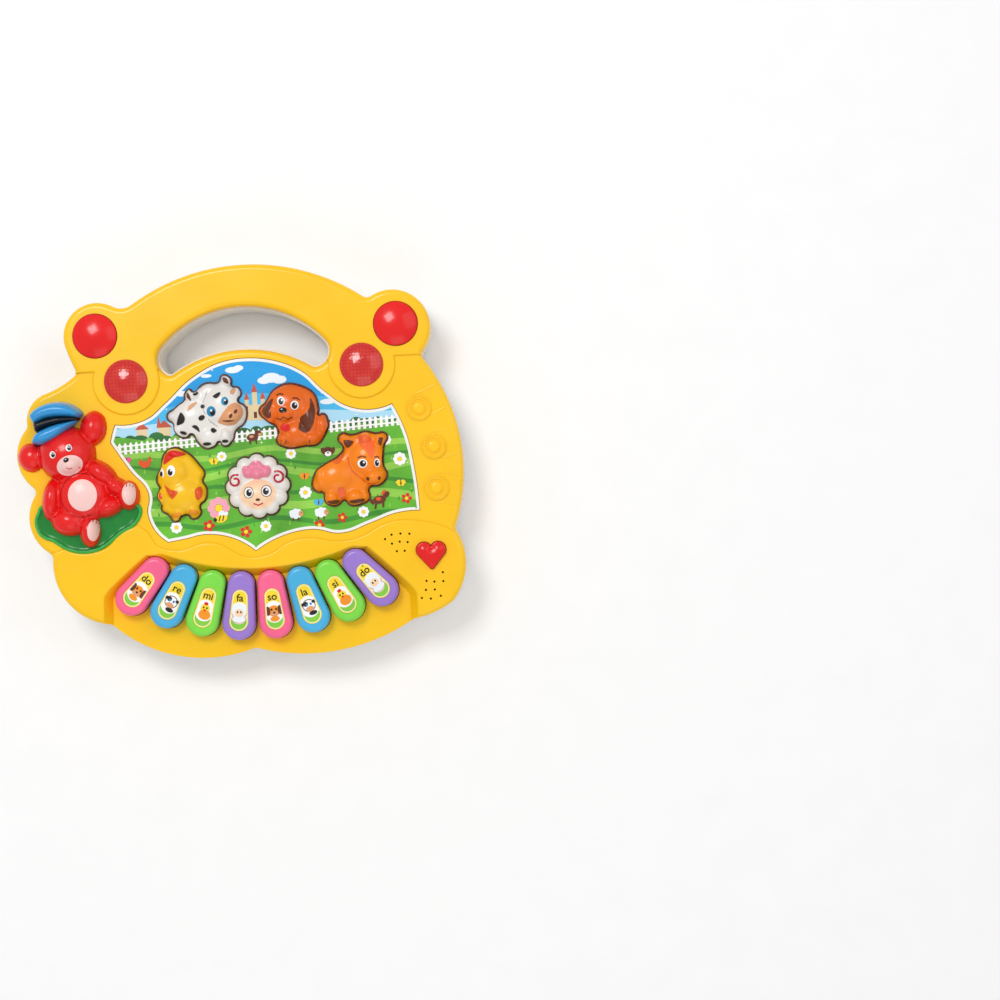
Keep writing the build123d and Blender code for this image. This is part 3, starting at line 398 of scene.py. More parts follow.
PAINT = {
    "black": finish("ink_black", (26, 22, 22)),
    "brown": finish("ink_brown", (104, 48, 22), vary=0.2),
    "rust": finish("ink_rust", (232, 84, 28), vary=0.12),
    "white": finish("ink_white", (252, 252, 250), rough=0.25),
    "blue": finish("ink_blue", (36, 138, 186)),
    "sky": finish("ink_sky", (14, 158, 228), vary=0.05),
    "sky_mid": finish("ink_sky_mid", (70, 186, 236), vary=0.05),
    "sky_low": finish("ink_sky_low", (172, 222, 246), vary=0.05),
    "cloud": finish("ink_cloud", (238, 246, 252)),
    "tan": finish("ink_tan", (226, 160, 112), vary=0.1),
    "wool": finish("ink_wool", (240, 138, 164), vary=0.1),
    "horn": finish("ink_horn", (196, 30, 62)),
    "mane": finish("ink_mane", (246, 104, 44), vary=0.1),
    # painted shade: a grey line along the cow's head contour
    "grey": finish("ink_grey", (178, 176, 172)),
    "outline": finish("ink_outline", (92, 40, 18), vary=0.2),
    "peach": finish("ink_peach", (255, 214, 176), vary=0.06),
    "pink": finish("ink_pink", (250, 170, 188), vary=0.12),
    "rose": finish("ink_rose", (236, 92, 140), vary=0.12),
    "red": finish("ink_red", (226, 34, 28)),
    "orange": finish("ink_orange", (246, 150, 28)),
    "yellow": finish("ink_yellow", (252, 220, 40)),
    "sand": finish("ink_sand", (226, 206, 160), rough=0.4, vary=0.15),
    "roof": finish("ink_roof", (196, 82, 56), rough=0.4, vary=0.2),
    "hedge": finish("ink_hedge", (34, 112, 44), rough=0.4, vary=0.4),
    "bush": finish("ink_bush", (120, 190, 60), rough=0.4, vary=0.35),
    "grass": finish("ink_grass", (98, 184, 44), rough=0.35, vary=0.3),
    "meadow": finish("ink_meadow", (150, 212, 76), rough=0.35, vary=0.25),
    "deep": finish("ink_deep", (60, 150, 40), rough=0.35, vary=0.35),
    "leaf_rim": finish("rim_green", (54, 176, 72), rough=0.25),
    "lime": finish("ink_lime", (132, 206, 62)),
    "cream": finish("ink_cream", (250, 240, 196)),
    "sole": finish("sole_paint", (250, 206, 200)),
    # painted shade for the creases of the bear's body and toes
    "shade_red": finish("groove_red", (168, 12, 14)),
}


def shift_to(node, drawn):
    """How far the node's box centre (mm) lies from where its features were drawn about."""
    low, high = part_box(node)
    return ((low.x + high.x) / 2 / MM - drawn[0], (low.y + high.y) / 2 / MM - drawn[1])


def moved(points, by):
    return [(x + by[0], y + by[1]) for x, y in points]


# ------------------------------------------------------------ animals
panel_top = top_of("scene_panel")
FLEECE = oval(7.6, -11.4, 10.6, 10.6, 0, 12)  # the sheep's curls of wool
TUFTS = [(3.8, -5.4), (5.8, -3.0), (9.0, -3.0), (11.6, -5.2), (7.8, -6.0)]  # and the wool on its head
ANIMALS = {
    "cow": {
        "drawn": (-13.45, 22.7), "slot": "animal_white",
        "bumps": [
            (-19.5, 20.0, 10.0, 9.0, -10, 33.6), (-6.6, 25.4, 8.6, 9.0, -35, 34.6),
            (-2.6, 20.8, 6.2, 4.8, 28, 35.6), (-12.6, 12.0, 5.6, 5.4, 20, 33.4),
            (-5.6, 11.6, 3.0, 4.6, 0, 33.6), (-19.0, 31.0, 4.0, 3.0, 40, 33.2),
            (-3.6, 36.0, 1.8, 3.0, -20, 33.2), (-26.0, 15.4, 3.4, 3.6, 0, 33.2)
        ],
        "marks": [
            # grey band along the cow's head contour: painted shade where the head stands off the body
            ("grey", band(
                [(-12.6, 31.4), (-14.6, 27.4), (-14.2, 22.6), (-12.0, 18.6), (-8.8, 16.0)], 0.35
            )),
            ("tan", smooth([
                (-8.4, 18), (-6.5, 20.8), (-4, 24), (-1.5, 25.8), (0.5, 26), (2.2, 24.5), (3, 22.5),
                (2.5, 20), (1, 18), (-1, 16.5), (-4, 16.1), (-7, 17)
            ])),
            ("brown", oval(0.0, 22.1, 0.7, 1.1, -30)), ("brown", oval(-2.2, 20.2, 0.7, 1.1, -30)),
            ("brown", smooth([(-6.6, 18.4), (-3.6, 17.6), (-0.6, 18.2), (-3.6, 18.4)])),
            ("blue", oval(-11, 22.8, 2.1, 2.3)), ("black", oval(-10.4, 22.2, 1.2, 1.4)),
            ("white", oval(-10.9, 23.2, 0.5)), ("blue", oval(-4.6, 27.0, 1.6, 1.9)),
            ("black", oval(-4.1, 26.6, 0.9, 1.1)), ("white", oval(-4.5, 27.4, 0.4)),
            ("black", smooth([
                (-24.7, 23.1), (-23.5, 22), (-22.9, 20.3), (-23.8, 18.3), (-26.7, 17.5), (-26.4, 19.8),
                (-25.6, 21.8)
            ])),
            ("black", smooth([
                (-19.9, 16.5), (-18.5, 17.1), (-17.2, 16.2), (-16.8, 15), (-16.9, 13.9), (-18, 14.9)
            ])),
            ("black", smooth([(-11.7, 14.5), (-10.8, 15.5), (-9.1, 14.2), (-10.6, 13.2)])),
            ("black", oval(-14.8, 25.3, 0.9)), ("black", oval(-15.4, 20.2, 1.5, 1.1, 30)),
            ("black", smooth([(-9.8, 29.7), (-7, 31.2), (-6.5, 30.3), (-8, 28.6), (-9.2, 28.8)])),
            ("brown", smooth([(-21.4, 31.9), (-20.3, 30.3), (-20, 28), (-21.8, 30)])),
            ("brown", smooth([(-5.4, 37.8), (-3.2, 37.0), (-2.8, 34.8), (-4.8, 35.6)])),
            ("tan", smooth([(-21.5, 23.5), (-20.6, 26.0), (-17.3, 27.6), (-18.6, 25.8)])),
            ("tan", oval(-1.0, 31.4, 1.0, 1.4, -30)), ("black", oval(-17.6, 31.2, 1.2, 0.8, 30)),
            ("black", oval(-24, 13.9, 1.5, 0.7, -20)), ("black", oval(-13.8, 8.4, 2.0, 0.7)),
            ("black", oval(-5.6, 9.2, 1.5, 0.7))
        ]
    },
    "dog": {
        "drawn": (25.2, 19.35), "slot": "animal_orange", "paint": (236, 106, 12),
        "bumps": [
            (23.0, 24.2, 10.0, 8.6, -8, 34.6), (21.6, 20.4, 5.0, 4.4, 0, 35.6),
            (15.0, 20.8, 3.8, 6.4, -20, 34.2), (32.2, 17.8, 4.6, 8.0, 10, 34.8),
            (26.0, 11.4, 7.0, 6.4, 0, 33.8), (20.6, 9.2, 3.4, 3.6, 0, 34.2),
            (32.4, 9.0, 4.4, 3.4, 0, 34.0), (37.6, 14.4, 2.6, 4.6, 0, 33.0)
        ],
        "marks": [
            ("brown", smooth([
                (16.6, 27.4), (13.2, 25), (11.2, 21.8), (13.4, 18.8), (15.4, 19.2), (15.4, 23)
            ])),
            ("brown", smooth([
                (33.2, 27), (35, 22), (34.6, 17), (33, 13), (30.5, 11.3), (28.2, 12.3), (27.3, 13.5),
                (28, 17), (28.6, 18.5), (31, 20), (32.8, 22.5)
            ])),
            ("white", oval(20.2, 26.0, 1.7, 2.1, 10)), ("black", oval(20.3, 25.8, 1.2, 1.5)),
            ("white", oval(20.7, 26.4, 0.4)), ("white", oval(26.2, 23.8, 1.8, 2.0, -10)),
            ("black", oval(26.2, 23.6, 1.3, 1.5)), ("white", oval(26.7, 24.2, 0.4)),
            ("brown", band([(18.2, 28.8), (19.8, 29.4), (21.4, 28.9)], 0.6)),
            ("brown", band([(25.4, 27.0), (27.2, 27.0), (28.6, 26.0)], 0.6)),
            ("black", oval(20.9, 21.9, 1.8, 1.3, -10)), ("white", oval(20.4, 22.3, 0.4, 0.25)),
            ("brown", band([(17.6, 18.6), (19.4, 17.6), (21.0, 18.8), (23.0, 17.6), (24.8, 18.6)], 0.45)),
            ("red", smooth([(20.3, 15.8), (19, 14), (21, 12.5), (23.3, 13), (23.0, 15.2)])),
            ("brown", band([(18.6, 7.0), (19.4, 8.6)], 0.35)),
            ("brown", band([(21.0, 6.8), (21.6, 8.4)], 0.35)),
            ("brown", band([(31.6, 6.6), (32.2, 8.0)], 0.35))
        ]
    },
    "chick": {
        "drawn": (-26.5, -8.85), "slot": "animal_yellow",
        "bumps": [
            (-29.6, -3.4, 7.4, 7.6, 0, 34.6), (-26.2, -13.6, 9.4, 8.6, 0, 34.2),
            (-19.0, -13.4, 2.8, 4.4, 15, 34.4), (-35.4, -14.0, 2.2, 3.8, 0, 33.4),
            (-31.0, -12.4, 2.8, 2.6, -30, 35.4), (-28.6, -21.6, 3.2, 2.6, 0, 33.2),
            (-21.8, -20.6, 2.8, 2.8, 0, 33.2), (-28.0, 4.6, 4.6, 2.2, -20, 33.6)
        ],
        "marks": [
            ("red", smooth([
                (-33.6, 0.4), (-33.4, 3.9), (-31.6, 5.8), (-29.4, 6.5), (-26, 5.8), (-23.7, 4.5),
                (-26, 3.6), (-29, 3.1), (-31, 1.8)
            ])),
            ("white", oval(-30.3, -2.7, 1.9, 2.5, 0)), ("black", oval(-30.7, -3.3, 1.1, 1.5)),
            ("white", oval(-30.3, -2.5, 0.4)), ("white", oval(-34.6, -3.2, 1.1, 2.1, 10)),
            ("black", oval(-34.9, -3.8, 0.7, 1.2)),
            ("rust", smooth([
                (-34.1, -8.8), (-31, -11.0), (-27.9, -12.2), (-30.6, -15.2), (-32.2, -12.6)
            ])),
            ("rust", smooth([(-36.3, -12.0), (-35.4, -12.6), (-35.0, -14.6), (-36.4, -14.8)])),
            ("rust", smooth([
                (-20, -11.5), (-18, -10.3), (-17, -12), (-17.3, -15), (-19.5, -16.3), (-20.2, -14)
            ])),
            ("orange", oval(-29.4, -22.6, 2.6, 1.2, 10)), ("orange", oval(-21.6, -21.6, 2.2, 1.2, -10))
        ]
    },
    "sheep": {
        "drawn": (7.6, -11.4), "slot": "animal_white",
        "bumps": [(x, y, 3.9, 3.9, 0, 33.2) for x, y in FLEECE] + [
            (x, y, 3.1, 2.9, 0, 35.0) for x, y in TUFTS
        ] + [
            (-2.0, -8.8, 3.3, 3.3, 0, 34.4), (17.0, -8.2, 3.3, 3.3, 0, 34.4),
            (7.6, -15.4, 9.0, 7.4, 0, 35.0)
        ],
        "marks": [
            ("peach", oval(7.6, -15.2, 8.1, 6.7, 0, 40)),
            ("wool", smooth([
                (1.0, -5.0), (1.8, -2.6), (4.4, -2.0), (6.2, -0.2), (9.2, -0.4), (10.8, -2.2),
                (13.4, -2.8), (14.2, -5.4), (12.4, -7.8), (9.8, -7.8), (7.6, -8.9), (5.2, -7.8),
                (2.4, -7.6)
            ])),
            ("horn", band(curl(-2.0, -8.8, 60, 3.4), 0.9)),
            ("horn", band(curl(17.0, -8.2, 120, -3.4), 0.9)), ("brown", oval(3.7, -14.2, 2.3, 2.6)),
            ("white", oval(3.7, -14.2, 2.0, 2.3)), ("black", oval(3.9, -14.3, 1.3, 1.6)),
            ("white", oval(4.3, -13.6, 0.5)), ("brown", oval(11.6, -13.9, 2.3, 2.6)),
            ("white", oval(11.6, -13.9, 2.0, 2.3)), ("black", oval(11.4, -14.0, 1.3, 1.6)),
            ("white", oval(11.8, -13.3, 0.5)), ("brown", oval(7.7, -17.6, 1.0, 0.6)),
            ("red", band([(5.6, -19.2), (7.7, -20.1), (9.8, -19.2)], 0.6))
        ]
    },
    "horse": {
        "drawn": (49.5, -6.0), "slot": "animal_orange",
        "bumps": [
            (57.0, -1.2, 8.0, 8.6, 0, 34.8), (60.0, -10.0, 5.2, 4.0, 10, 35.6),
            (43.0, -9.0, 9.4, 8.2, 10, 34.2), (40.6, -18.0, 3.4, 4.2, 0, 33.8),
            (51.0, -18.4, 4.4, 3.8, 0, 34.0), (49.0, 6.0, 4.0, 3.0, -20, 33.6),
            (63.2, 6.0, 2.6, 3.2, 0, 33.6), (57.0, 7.0, 3.0, 3.4, 0, 34.2),
            (36.2, -9.0, 2.4, 5.6, 0, 33.6)
        ],
        "marks": [
            ("brown", smooth([(47.6, 7.0), (51.8, 6.2), (49.5, 3.6), (48.0, 4.6)])),
            ("brown", smooth([(63.4, 7.2), (65.0, 7.0), (64.0, 3.8), (62.8, 5.0)])),
            ("mane", smooth([
                (53.4, 8.2), (57.4, 8.8), (60.8, 6.0), (61.0, 1.0), (59.4, -1.6), (57.8, 1.4),
                (55.6, 3.0), (54.2, 5.6)
            ])),
            ("rust", band([(48.9, -0.5), (49.3, -4.0), (50.8, -7.2), (53.6, -9.8), (56.0, -12.2)], 0.4)),
            ("white", oval(55.4, -3.8, 2.2, 2.0)), ("black", oval(55.6, -3.9, 1.5, 1.5)),
            ("white", oval(56.1, -3.4, 0.45)), ("white", oval(61.9, -3.9, 1.3, 1.9)),
            ("black", oval(61.8, -4.0, 0.9, 1.4)), ("white", oval(62.2, -3.5, 0.35)),
            ("brown", band([(53.4, -1.2), (55.4, -0.5), (57.2, -1.2)], 0.55)),
            ("brown", band([(60.8, -1.4), (62.0, -1.0), (63.0, -1.6)], 0.5)),
            ("brown", oval(57.4, -10.8, 0.7, 0.9, 20)), ("brown", oval(62.6, -10.8, 0.6, 0.9, -20)),
            ("rust", band([(57.4, -12.8), (60.0, -13.2), (62.4, -12.4)], 0.4)),
            ("brown", smooth([
                (38.6, -19.9), (43.4, -19.5), (44.4, -20.9), (41.2, -21.3), (38.8, -20.6)
            ])),
            ("brown", smooth([(48.6, -20.2), (55.0, -19.6), (54.4, -21.2), (50.0, -21.4)])),
            ("mane", smooth([(44.2, -14.2), (46.8, -14.8), (46.6, -18.6), (45.0, -18.8), (43.8, -17.2)])),
            ("mane", smooth([(41.8, -1.6), (44.6, 0.6), (47.4, 3.6), (46.6, -0.4), (44.2, -3.2)]))
        ]
    }
}
ANIMAL_FACE = 28.8  # height (mm) that the animals' relief rises from
PAINT_LIFT = 0.12  # the first painted mark above the relief, mm
PAINT_LAYER = 0.012  # each next mark above the one before, mm
animal_loops = {}
for name, animal in ANIMALS.items():
    node = f"{name}_button"
    loop = top_loops(node)[0]
    animal_loops[name] = loop
    by = shift_to(node, animal["drawn"])
    bumps = [(cx + by[0], cy + by[1], *rest) for cx, cy, *rest in animal["bumps"]]
    surface = relief(ANIMAL_FACE, bumps, edge=loop, rise=2.9, soft=0.8)
    body = Shape()
    body.fill([loop], surface, step=0.5, skirt=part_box(node)[0].z / MM)
    coat = FINISHES[animal["slot"]]
    if "paint" in animal:
        coat = finish(f"{name}_paint", animal["paint"], rough=0.22, vary=0.08)
    body.build(f"{name}_moulding", coat, animal["slot"], node, replaces=(node,))
    layers = {}
    rim = moved_in(loop, 0.25)
    for order, (colour, outline) in enumerate(animal["marks"]):
        lift = PAINT_LIFT + PAINT_LAYER * order
        mark = layers.setdefault(colour, Shape())
        mark.fill([moved(outline, by)], lambda xy, lift=lift: surface(xy) + lift, within=[rim], step=0.35)
    for colour, mark in layers.items():
        mark.build(f"{name}_paint_{colour}", PAINT[colour], animal["slot"], node)


# ------------------------------------------------------------ bear
BEAR_SUNK = 4.0  # how far (mm) the bear's solid reaches below the shell's face
BEAR_LIFT = 0.1
BEAR_LAYER = 0.01
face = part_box("bear_body")[0].z / MM + BEAR_SUNK
by = shift_to("bear_body", (-71.85, -4.0))
BEAR = [
    (-77.0, 7.5, 13.0, 12.4, 0, face + 11.4), (-92.8, 6.8, 6.0, 6.4, 10, face + 5.6),
    (-64.6, 18.4, 5.9, 7.7, -12, face + 6.6), (-74.6, 2.9, 6.8, 5.2, 20, face + 12.6),
    (-70.6, -11.4, 12.8, 12.6, 0, face + 9.0), (-71.0, -11.5, 14.2, 12.0, 0, face + 7.0),
    (-84.6, -12.6, 4.4, 9.6, -8, face + 8.0), (-62.0, -1.6, 8.4, 4.6, -38, face + 8.4),
    (-55.6, -8.2, 5.0, 4.2, -30, face + 7.6), (-50.6, -12.4, 5.2, 6.6, 0, face + 8.8),
    (-59.4, -17.0, 7.0, 4.4, 20, face + 7.6), (-77.4, -22.6, 8.4, 6.6, -10, face + 7.8),
    (-68.4, -27.2, 4.8, 7.6, 0, face + 8.8), (-73.6, 10.8, 2.4, 2.0, 0, face + 12.0),
    (-81.0, 8.6, 2.4, 2.0, 0, face + 11.9)
]
bear_surface = relief(face, [(cx + by[0], cy + by[1], *rest) for cx, cy, *rest in BEAR], blend=0.3)
bear_area = [
    oval(cx + by[0], cy + by[1], rx + 0.6, ry + 0.6, tilt, 40) for cx, cy, rx, ry, tilt, _ in BEAR[:13]
]
bear = Shape()
bear.fill(bear_area, bear_surface, step=0.6)
bear.build("bear_moulding", FINISHES["red_plastic"], "red_plastic", "base", replaces=("bear_body",))
BEAR_MARKS = [
    ("sole", oval(-74.5, 2.2, 5.8, 4.3, 20, 40)), ("sole", oval(-69.8, -11.3, 6.4, 7.1, 0, 40)),
    ("sole", oval(-49.3, -11.8, 2.9, 5.0, 0)), ("sole", oval(-66.1, -27.2, 2.3, 4.8, -6)),
    ("black", oval(-75.5, 4.6, 1.3, 1.1, 15)), ("white", oval(-75.8, 4.9, 0.35, 0.25)),
    ("white", oval(-81.5, 7.3, 1.4, 1.6)), ("black", oval(-81.3, 7.2, 0.95, 1.1)),
    ("white", oval(-81.0, 7.6, 0.3)), ("white", oval(-74.1, 10.0, 1.4, 1.6)),
    ("black", oval(-73.9, 9.9, 0.95, 1.1)), ("white", oval(-73.6, 10.3, 0.3)),
    ("red", band([(-75.6, 1.2), (-74.4, 0.5), (-73.0, 1.0)], 0.4)),
    # the dark red arc round the belly is painted shade in the crease there
    ("shade_red", band(oval(-70.4, -11.3, 9.4, 9.8, 0, 60)[8:50], 0.3))
]
# dark red strokes between the bear's toes: painted shade in the creases
TOES = [(-50.3, -8.6), (-48.9, -8.2), (-47.6, -8.9), (-67.4, -23.7), (-66.1, -23.4), (-64.9, -24.1)]
for x, y in TOES:
    BEAR_MARKS.append(("shade_red", band([(x, y), (x + 0.15, y + 1.4)], 0.4)))
layers = {}
for order, (colour, outline) in enumerate(BEAR_MARKS):
    lift = BEAR_LIFT + BEAR_LAYER * order
    mark = layers.setdefault(colour, Shape())
    mark.fill([moved(outline, by)], lambda xy, lift=lift: bear_surface(xy) + lift, step=0.45)
for colour, mark in layers.items():
    mark.build(f"bear_paint_{colour}", PAINT[colour], "red_plastic", "base")

by = shift_to("bear_cap", (-80.86, 21.1))
crown = moved(
    smooth([
        (-92.6, 25.0), (-90, 28.2), (-85, 30.4), (-80, 31.0), (-75, 30.1), (-71, 27.8), (-68.8, 25.2),
        (-70.4, 22.8), (-75, 23.0), (-80, 23.2), (-85, 22.6), (-90.0, 20.6)
    ]),
    by
)
ribbon = moved(
    smooth([
        (-90.6, 22.6), (-85, 24.0), (-80, 24.6), (-75, 24.4), (-70.2, 23.6), (-71.4, 21.6), (-78, 20.6),
        (-84, 19.2), (-89.6, 17.2), (-91.0, 19.6)
    ]),
    by
)
brim = moved(
    smooth([
        (-91.8, 12.6), (-88.6, 11.6), (-85, 11.9), (-80, 14), (-76, 17), (-72.2, 20.4), (-71.4, 22.2),
        (-78, 21.6), (-84, 20.2), (-89.4, 17.8), (-91.2, 15.4)
    ]),
    by
)
cap_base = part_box("bear_cap")[0].z / MM
cap = Shape()
cap.fill([crown], relief(cap_base, [], edge=crown, rise=11.0, soft=0.8), step=0.6, skirt=cap_base)
cap.fill([brim], relief(cap_base, [], edge=brim, rise=11.8, soft=0.7), step=0.6, skirt=cap_base)
cap.build("cap_moulding", FINISHES["cap_blue"], "cap_blue", "base", replaces=("bear_cap",))
strap = Shape()
strap.fill([ribbon], relief(cap_base, [], edge=ribbon, rise=10.6, soft=0.8), step=0.6, skirt=cap_base)
strap.build("cap_band", PAINT["black"], "cap_blue", "base")

leaf_loop = smooth([
    (-88.5, -13.6), (-92, -17.6), (-93.2, -22), (-91.8, -27), (-88.5, -29.7), (-86, -30.6), (-83, -32.7),
    (-79, -35.2), (-73, -36.8), (-66, -36.2), (-60, -33.2), (-55, -29.2), (-50, -26.6), (-46.5, -23.4),
    (-44.8, -19), (-46.5, -15.8), (-54, -12.0), (-72, -10.0)
])
by = shift_to("bear_leaf", (-68.75, -25.0))
leaf_loop = moved(leaf_loop, by)
leaf_top = top_of("bear_leaf")
leaf_inner = moved_in(leaf_loop, 1.3)


def leaf_height(xy):
    """A dished leaf with a raised rim and soft veins."""
    d = edge_distance(xy, leaf_loop)
    vein = 0.25 * np.sin(xy[:, 0] * 0.55 + xy[:, 1] * 0.2) ** 2
    return leaf_top - 0.9 + 0.9 * np.exp(-((d - 0.9) / 0.7) ** 2) + 0.5 * vein - 0.5 * np.exp(-d / 0.3)


leaf = Shape()
leaf.fill([leaf_loop], leaf_height, step=0.7, skirt=leaf_top - 1.6)
leaf.build("leaf_moulding", FINISHES["leaf_green"], "leaf_green", "base", replaces=("bear_leaf",))
rim = Shape()
rim.fill([leaf_loop], lambda xy: leaf_height(xy) + 0.05, without=[leaf_inner], step=0.7)
rim.build("leaf_rim", PAINT["leaf_rim"], "leaf_green", "base")

# ------------------------------------------------------------ printed scene
panel_loop = top_loops("scene_panel")[0]
WHITE_RIM = 1.3  # unprinted edge of the panel, mm
HOLE_GAP = 0.34  # bare panel round each animal, mm
OUTLINE_WIDTH = 0.85  # dark line printed round each animal, mm
PRINT_LIFT = 0.02  # the first outline above the panel, mm
LAYER_LIFT = 0.0007  # each next outline above the one before, mm
print_edge = moved_in(panel_loop, WHITE_RIM)
holes = [moved_in(loop, -HOLE_GAP) for loop in animal_loops.values()]
by = shift_to("scene_panel", (10.95, 2.85))
PRINT = []


def draw(colour, *outlines):
    """Prints outlines in one colour, on top of what is there."""
    PRINT.append((colour, [moved(o, by) for o in outlines]))


def blossom(x, y, r, petals, heart, count):
    """A flower with round petals."""
    draw(petals, *[
        oval(
            x + r * math.cos(k * 2 * math.pi / count), y + r * math.sin(k * 2 * math.pi / count),
            r * 0.52, r * 0.52, 0, 10
        ) for k in range(count)
    ])
    draw(heart, oval(x, y, r * 0.5, r * 0.5, 0, 12))


draw("sky", [(-62, 10), (90, 10), (90, 50), (-62, 50)])
draw("sky_mid", smooth([(-62, 8), (90, 8), (90, 23), (40, 27), (10, 30), (-20, 27), (-62, 21)]))
draw("sky_low", smooth([(-62, 6), (90, 6), (90, 17), (60, 19.5), (10, 22.5), (-30, 19.5), (-62, 15.5)]))
draw(
    "cloud", oval(16, 36.6, 4.2, 2.2), oval(19.6, 35.6, 3.2, 1.8), oval(12.8, 35.6, 3.0, 1.6),
    oval(-1, 41.0, 3.4, 1.4), oval(1.6, 41.8, 2.2, 1.2), oval(-24, 31.6, 3.2, 1.2),
    oval(40.6, 24.6, 3.4, 1.2), oval(-13, 39.0, 2.4, 0.8)
)
draw("sand", [
    (3.6, 18), (3.6, 27.4), (5.4, 27.4), (5.4, 25), (7, 25), (7, 30.6), (9.2, 30.6), (9.2, 25),
    (10.8, 25), (10.8, 27.4), (12.6, 27.4), (12.6, 18)
])
draw("roof", [(3.2, 27.4), (4.5, 31.0), (5.8, 27.4)], [(6.6, 30.6), (8.1, 34.8), (9.6, 30.6)],
     [(10.4, 27.4), (11.7, 31.0), (13.0, 27.4)])
draw(
    "brown", [(7.4, 19), (7.4, 21.8), (8.8, 21.8), (8.8, 19)],
    [(4.1, 23), (4.1, 24.4), (4.9, 24.4), (4.9, 23)], [(11.3, 23), (11.3, 24.4), (12.1, 24.4), (12.1, 23)]
)
draw(
    "sand", [(-45.4, 13), (-45.4, 17.0), (-40.6, 17.0), (-40.6, 13)],
    [(-35.8, 13), (-35.8, 17.4), (-30.2, 17.4), (-30.2, 13)]
)
draw("roof", [(-46.2, 16.6), (-43, 19.8), (-39.8, 16.6)], [(-36.6, 17.0), (-33, 20.4), (-29.4, 17.0)],
     [(-36.4, 17.4), (-35.4, 22.6), (-34.4, 17.4)])
for k in range(26):
    x = -60 + k * 5.6 + random.uniform(-1, 1)
    draw("hedge", oval(
        x, 12.6 + 0.02 * x + random.uniform(-0.6, 0.6), random.uniform(2.6, 4.2),
        random.uniform(2.0, 3.2), 0, 16
    ))
for k in range(16):
    x = -56 + k * 8.6 + random.uniform(-2, 2)
    draw("bush", oval(x, 11.6 + 0.02 * x, random.uniform(2.2, 3.6), random.uniform(1.4, 2.2), 0, 16))
draw("grass", smooth(
    [(-70, -50), (90, -50), (90, 13), (60, 12), (30, 11.2), (0, 10.6), (-30, 10.0), (-70, 9.6)], 4
))
draw("meadow", band([(x, 3.6 + 1.6 * math.sin(x * 0.11)) for x in range(-62, 90, 3)], 2.6))
draw("meadow", band([(x, -6.0 + 2.4 * math.sin(x * 0.08 + 1)) for x in range(-62, 90, 3)], 3.2))
draw("meadow", band([(x, -19.0 + 2.0 * math.sin(x * 0.1 + 2)) for x in range(-62, 90, 3)], 3.6))
draw("deep", band([(x, -1.6 + 1.8 * math.sin(x * 0.1 + 0.6)) for x in range(-62, 90, 3)], 1.4))
draw("deep", band([(x, -13.0 + 2.2 * math.sin(x * 0.09 + 2.6)) for x in range(-62, 90, 3)], 1.8))
draw("deep", band([(x, -27.6 + 1.6 * math.sin(x * 0.12)) for x in range(-62, 90, 3)], 2.2))
for k in range(150):
    x, y = random.uniform(-56, 78), random.uniform(-38, 6)
    draw(random.choice(["deep", "meadow", "lime"]), [
        (x, y), (x + 0.5, y + random.uniform(1.2, 2.4)), (x + 0.9, y)
    ])
# picket fence
for k in range(54):
    x = -59 + k * 2.5
    y = 5.6 + (x + 57) * 0.052
    draw("white", [(x, y), (x, y + 4.4), (x + 0.65, y + 5.3), (x + 1.3, y + 4.4), (x + 1.3, y)])
draw("white", band([(x, 7.0 + (x + 57) * 0.052) for x in range(-60, 90, 6)], 0.7))
draw("white", band([(x, 9.2 + (x + 57) * 0.052) for x in range(-60, 90, 6)], 0.7))
DAISIES = [
    (28.5, -15.5, 1.9), (10, -29.6, 1.7), (23, 2.2, 1.6), (71.5, -2.8, 2.0), (-30, -28.0, 1.8),
    (54, -25.6, 1.7), (-47, -6, 1.5), (66, 6, 1.5), (-8, 2.6, 1.5)
]
POPPIES = [
    (1, -31.6, 1.8), (-15.4, -28.0, 1.8), (34, -30.4, 1.6), (44.4, -27.6, 1.5), (-44, -15.6, 1.4),
    (73.6, -20.6, 1.6)
]
for x, y, r in DAISIES:
    blossom(x, y, r, "white", "yellow", 8)
for x, y, r in POPPIES:
    blossom(x, y, r, "red", "yellow", 5)
# a big flower with a bee
blossom(-10.6, -20.4, 3.4, "pink", "yellow", 8)
draw("yellow", oval(-9.6, -25.0, 2.8, 1.9, 20))
draw(
    "black", band([(-10.8, -26.4), (-10.0, -23.6)], 0.5), band([(-9.2, -26.2), (-8.4, -23.6)], 0.5),
    oval(-12.4, -25.6, 0.8)
)
draw("cloud", oval(-9.6, -22.6, 1.4, 0.9, 40), oval(-7.8, -23.0, 1.3, 0.8, 10))
BUTTERFLIES = [
    (28.5, -8.2, "orange"), (-11.6, 0.6, "yellow"), (71.4, -13.6, "yellow"), (-50.6, 3.2, "rose"),
    (34.2, -20.2, "sky_mid")
]
for x, y, c in BUTTERFLIES:
    draw(
        c, oval(x - 1.1, y + 0.5, 1.2, 0.9, 30, 12), oval(x + 1.1, y + 0.5, 1.2, 0.9, -30, 12),
        oval(x - 0.8, y - 0.8, 0.8, 0.6, -20, 10), oval(x + 0.8, y - 0.8, 0.8, 0.6, 20, 10)
    )
    draw("brown", oval(x, y, 0.28, 1.3, 0, 8))
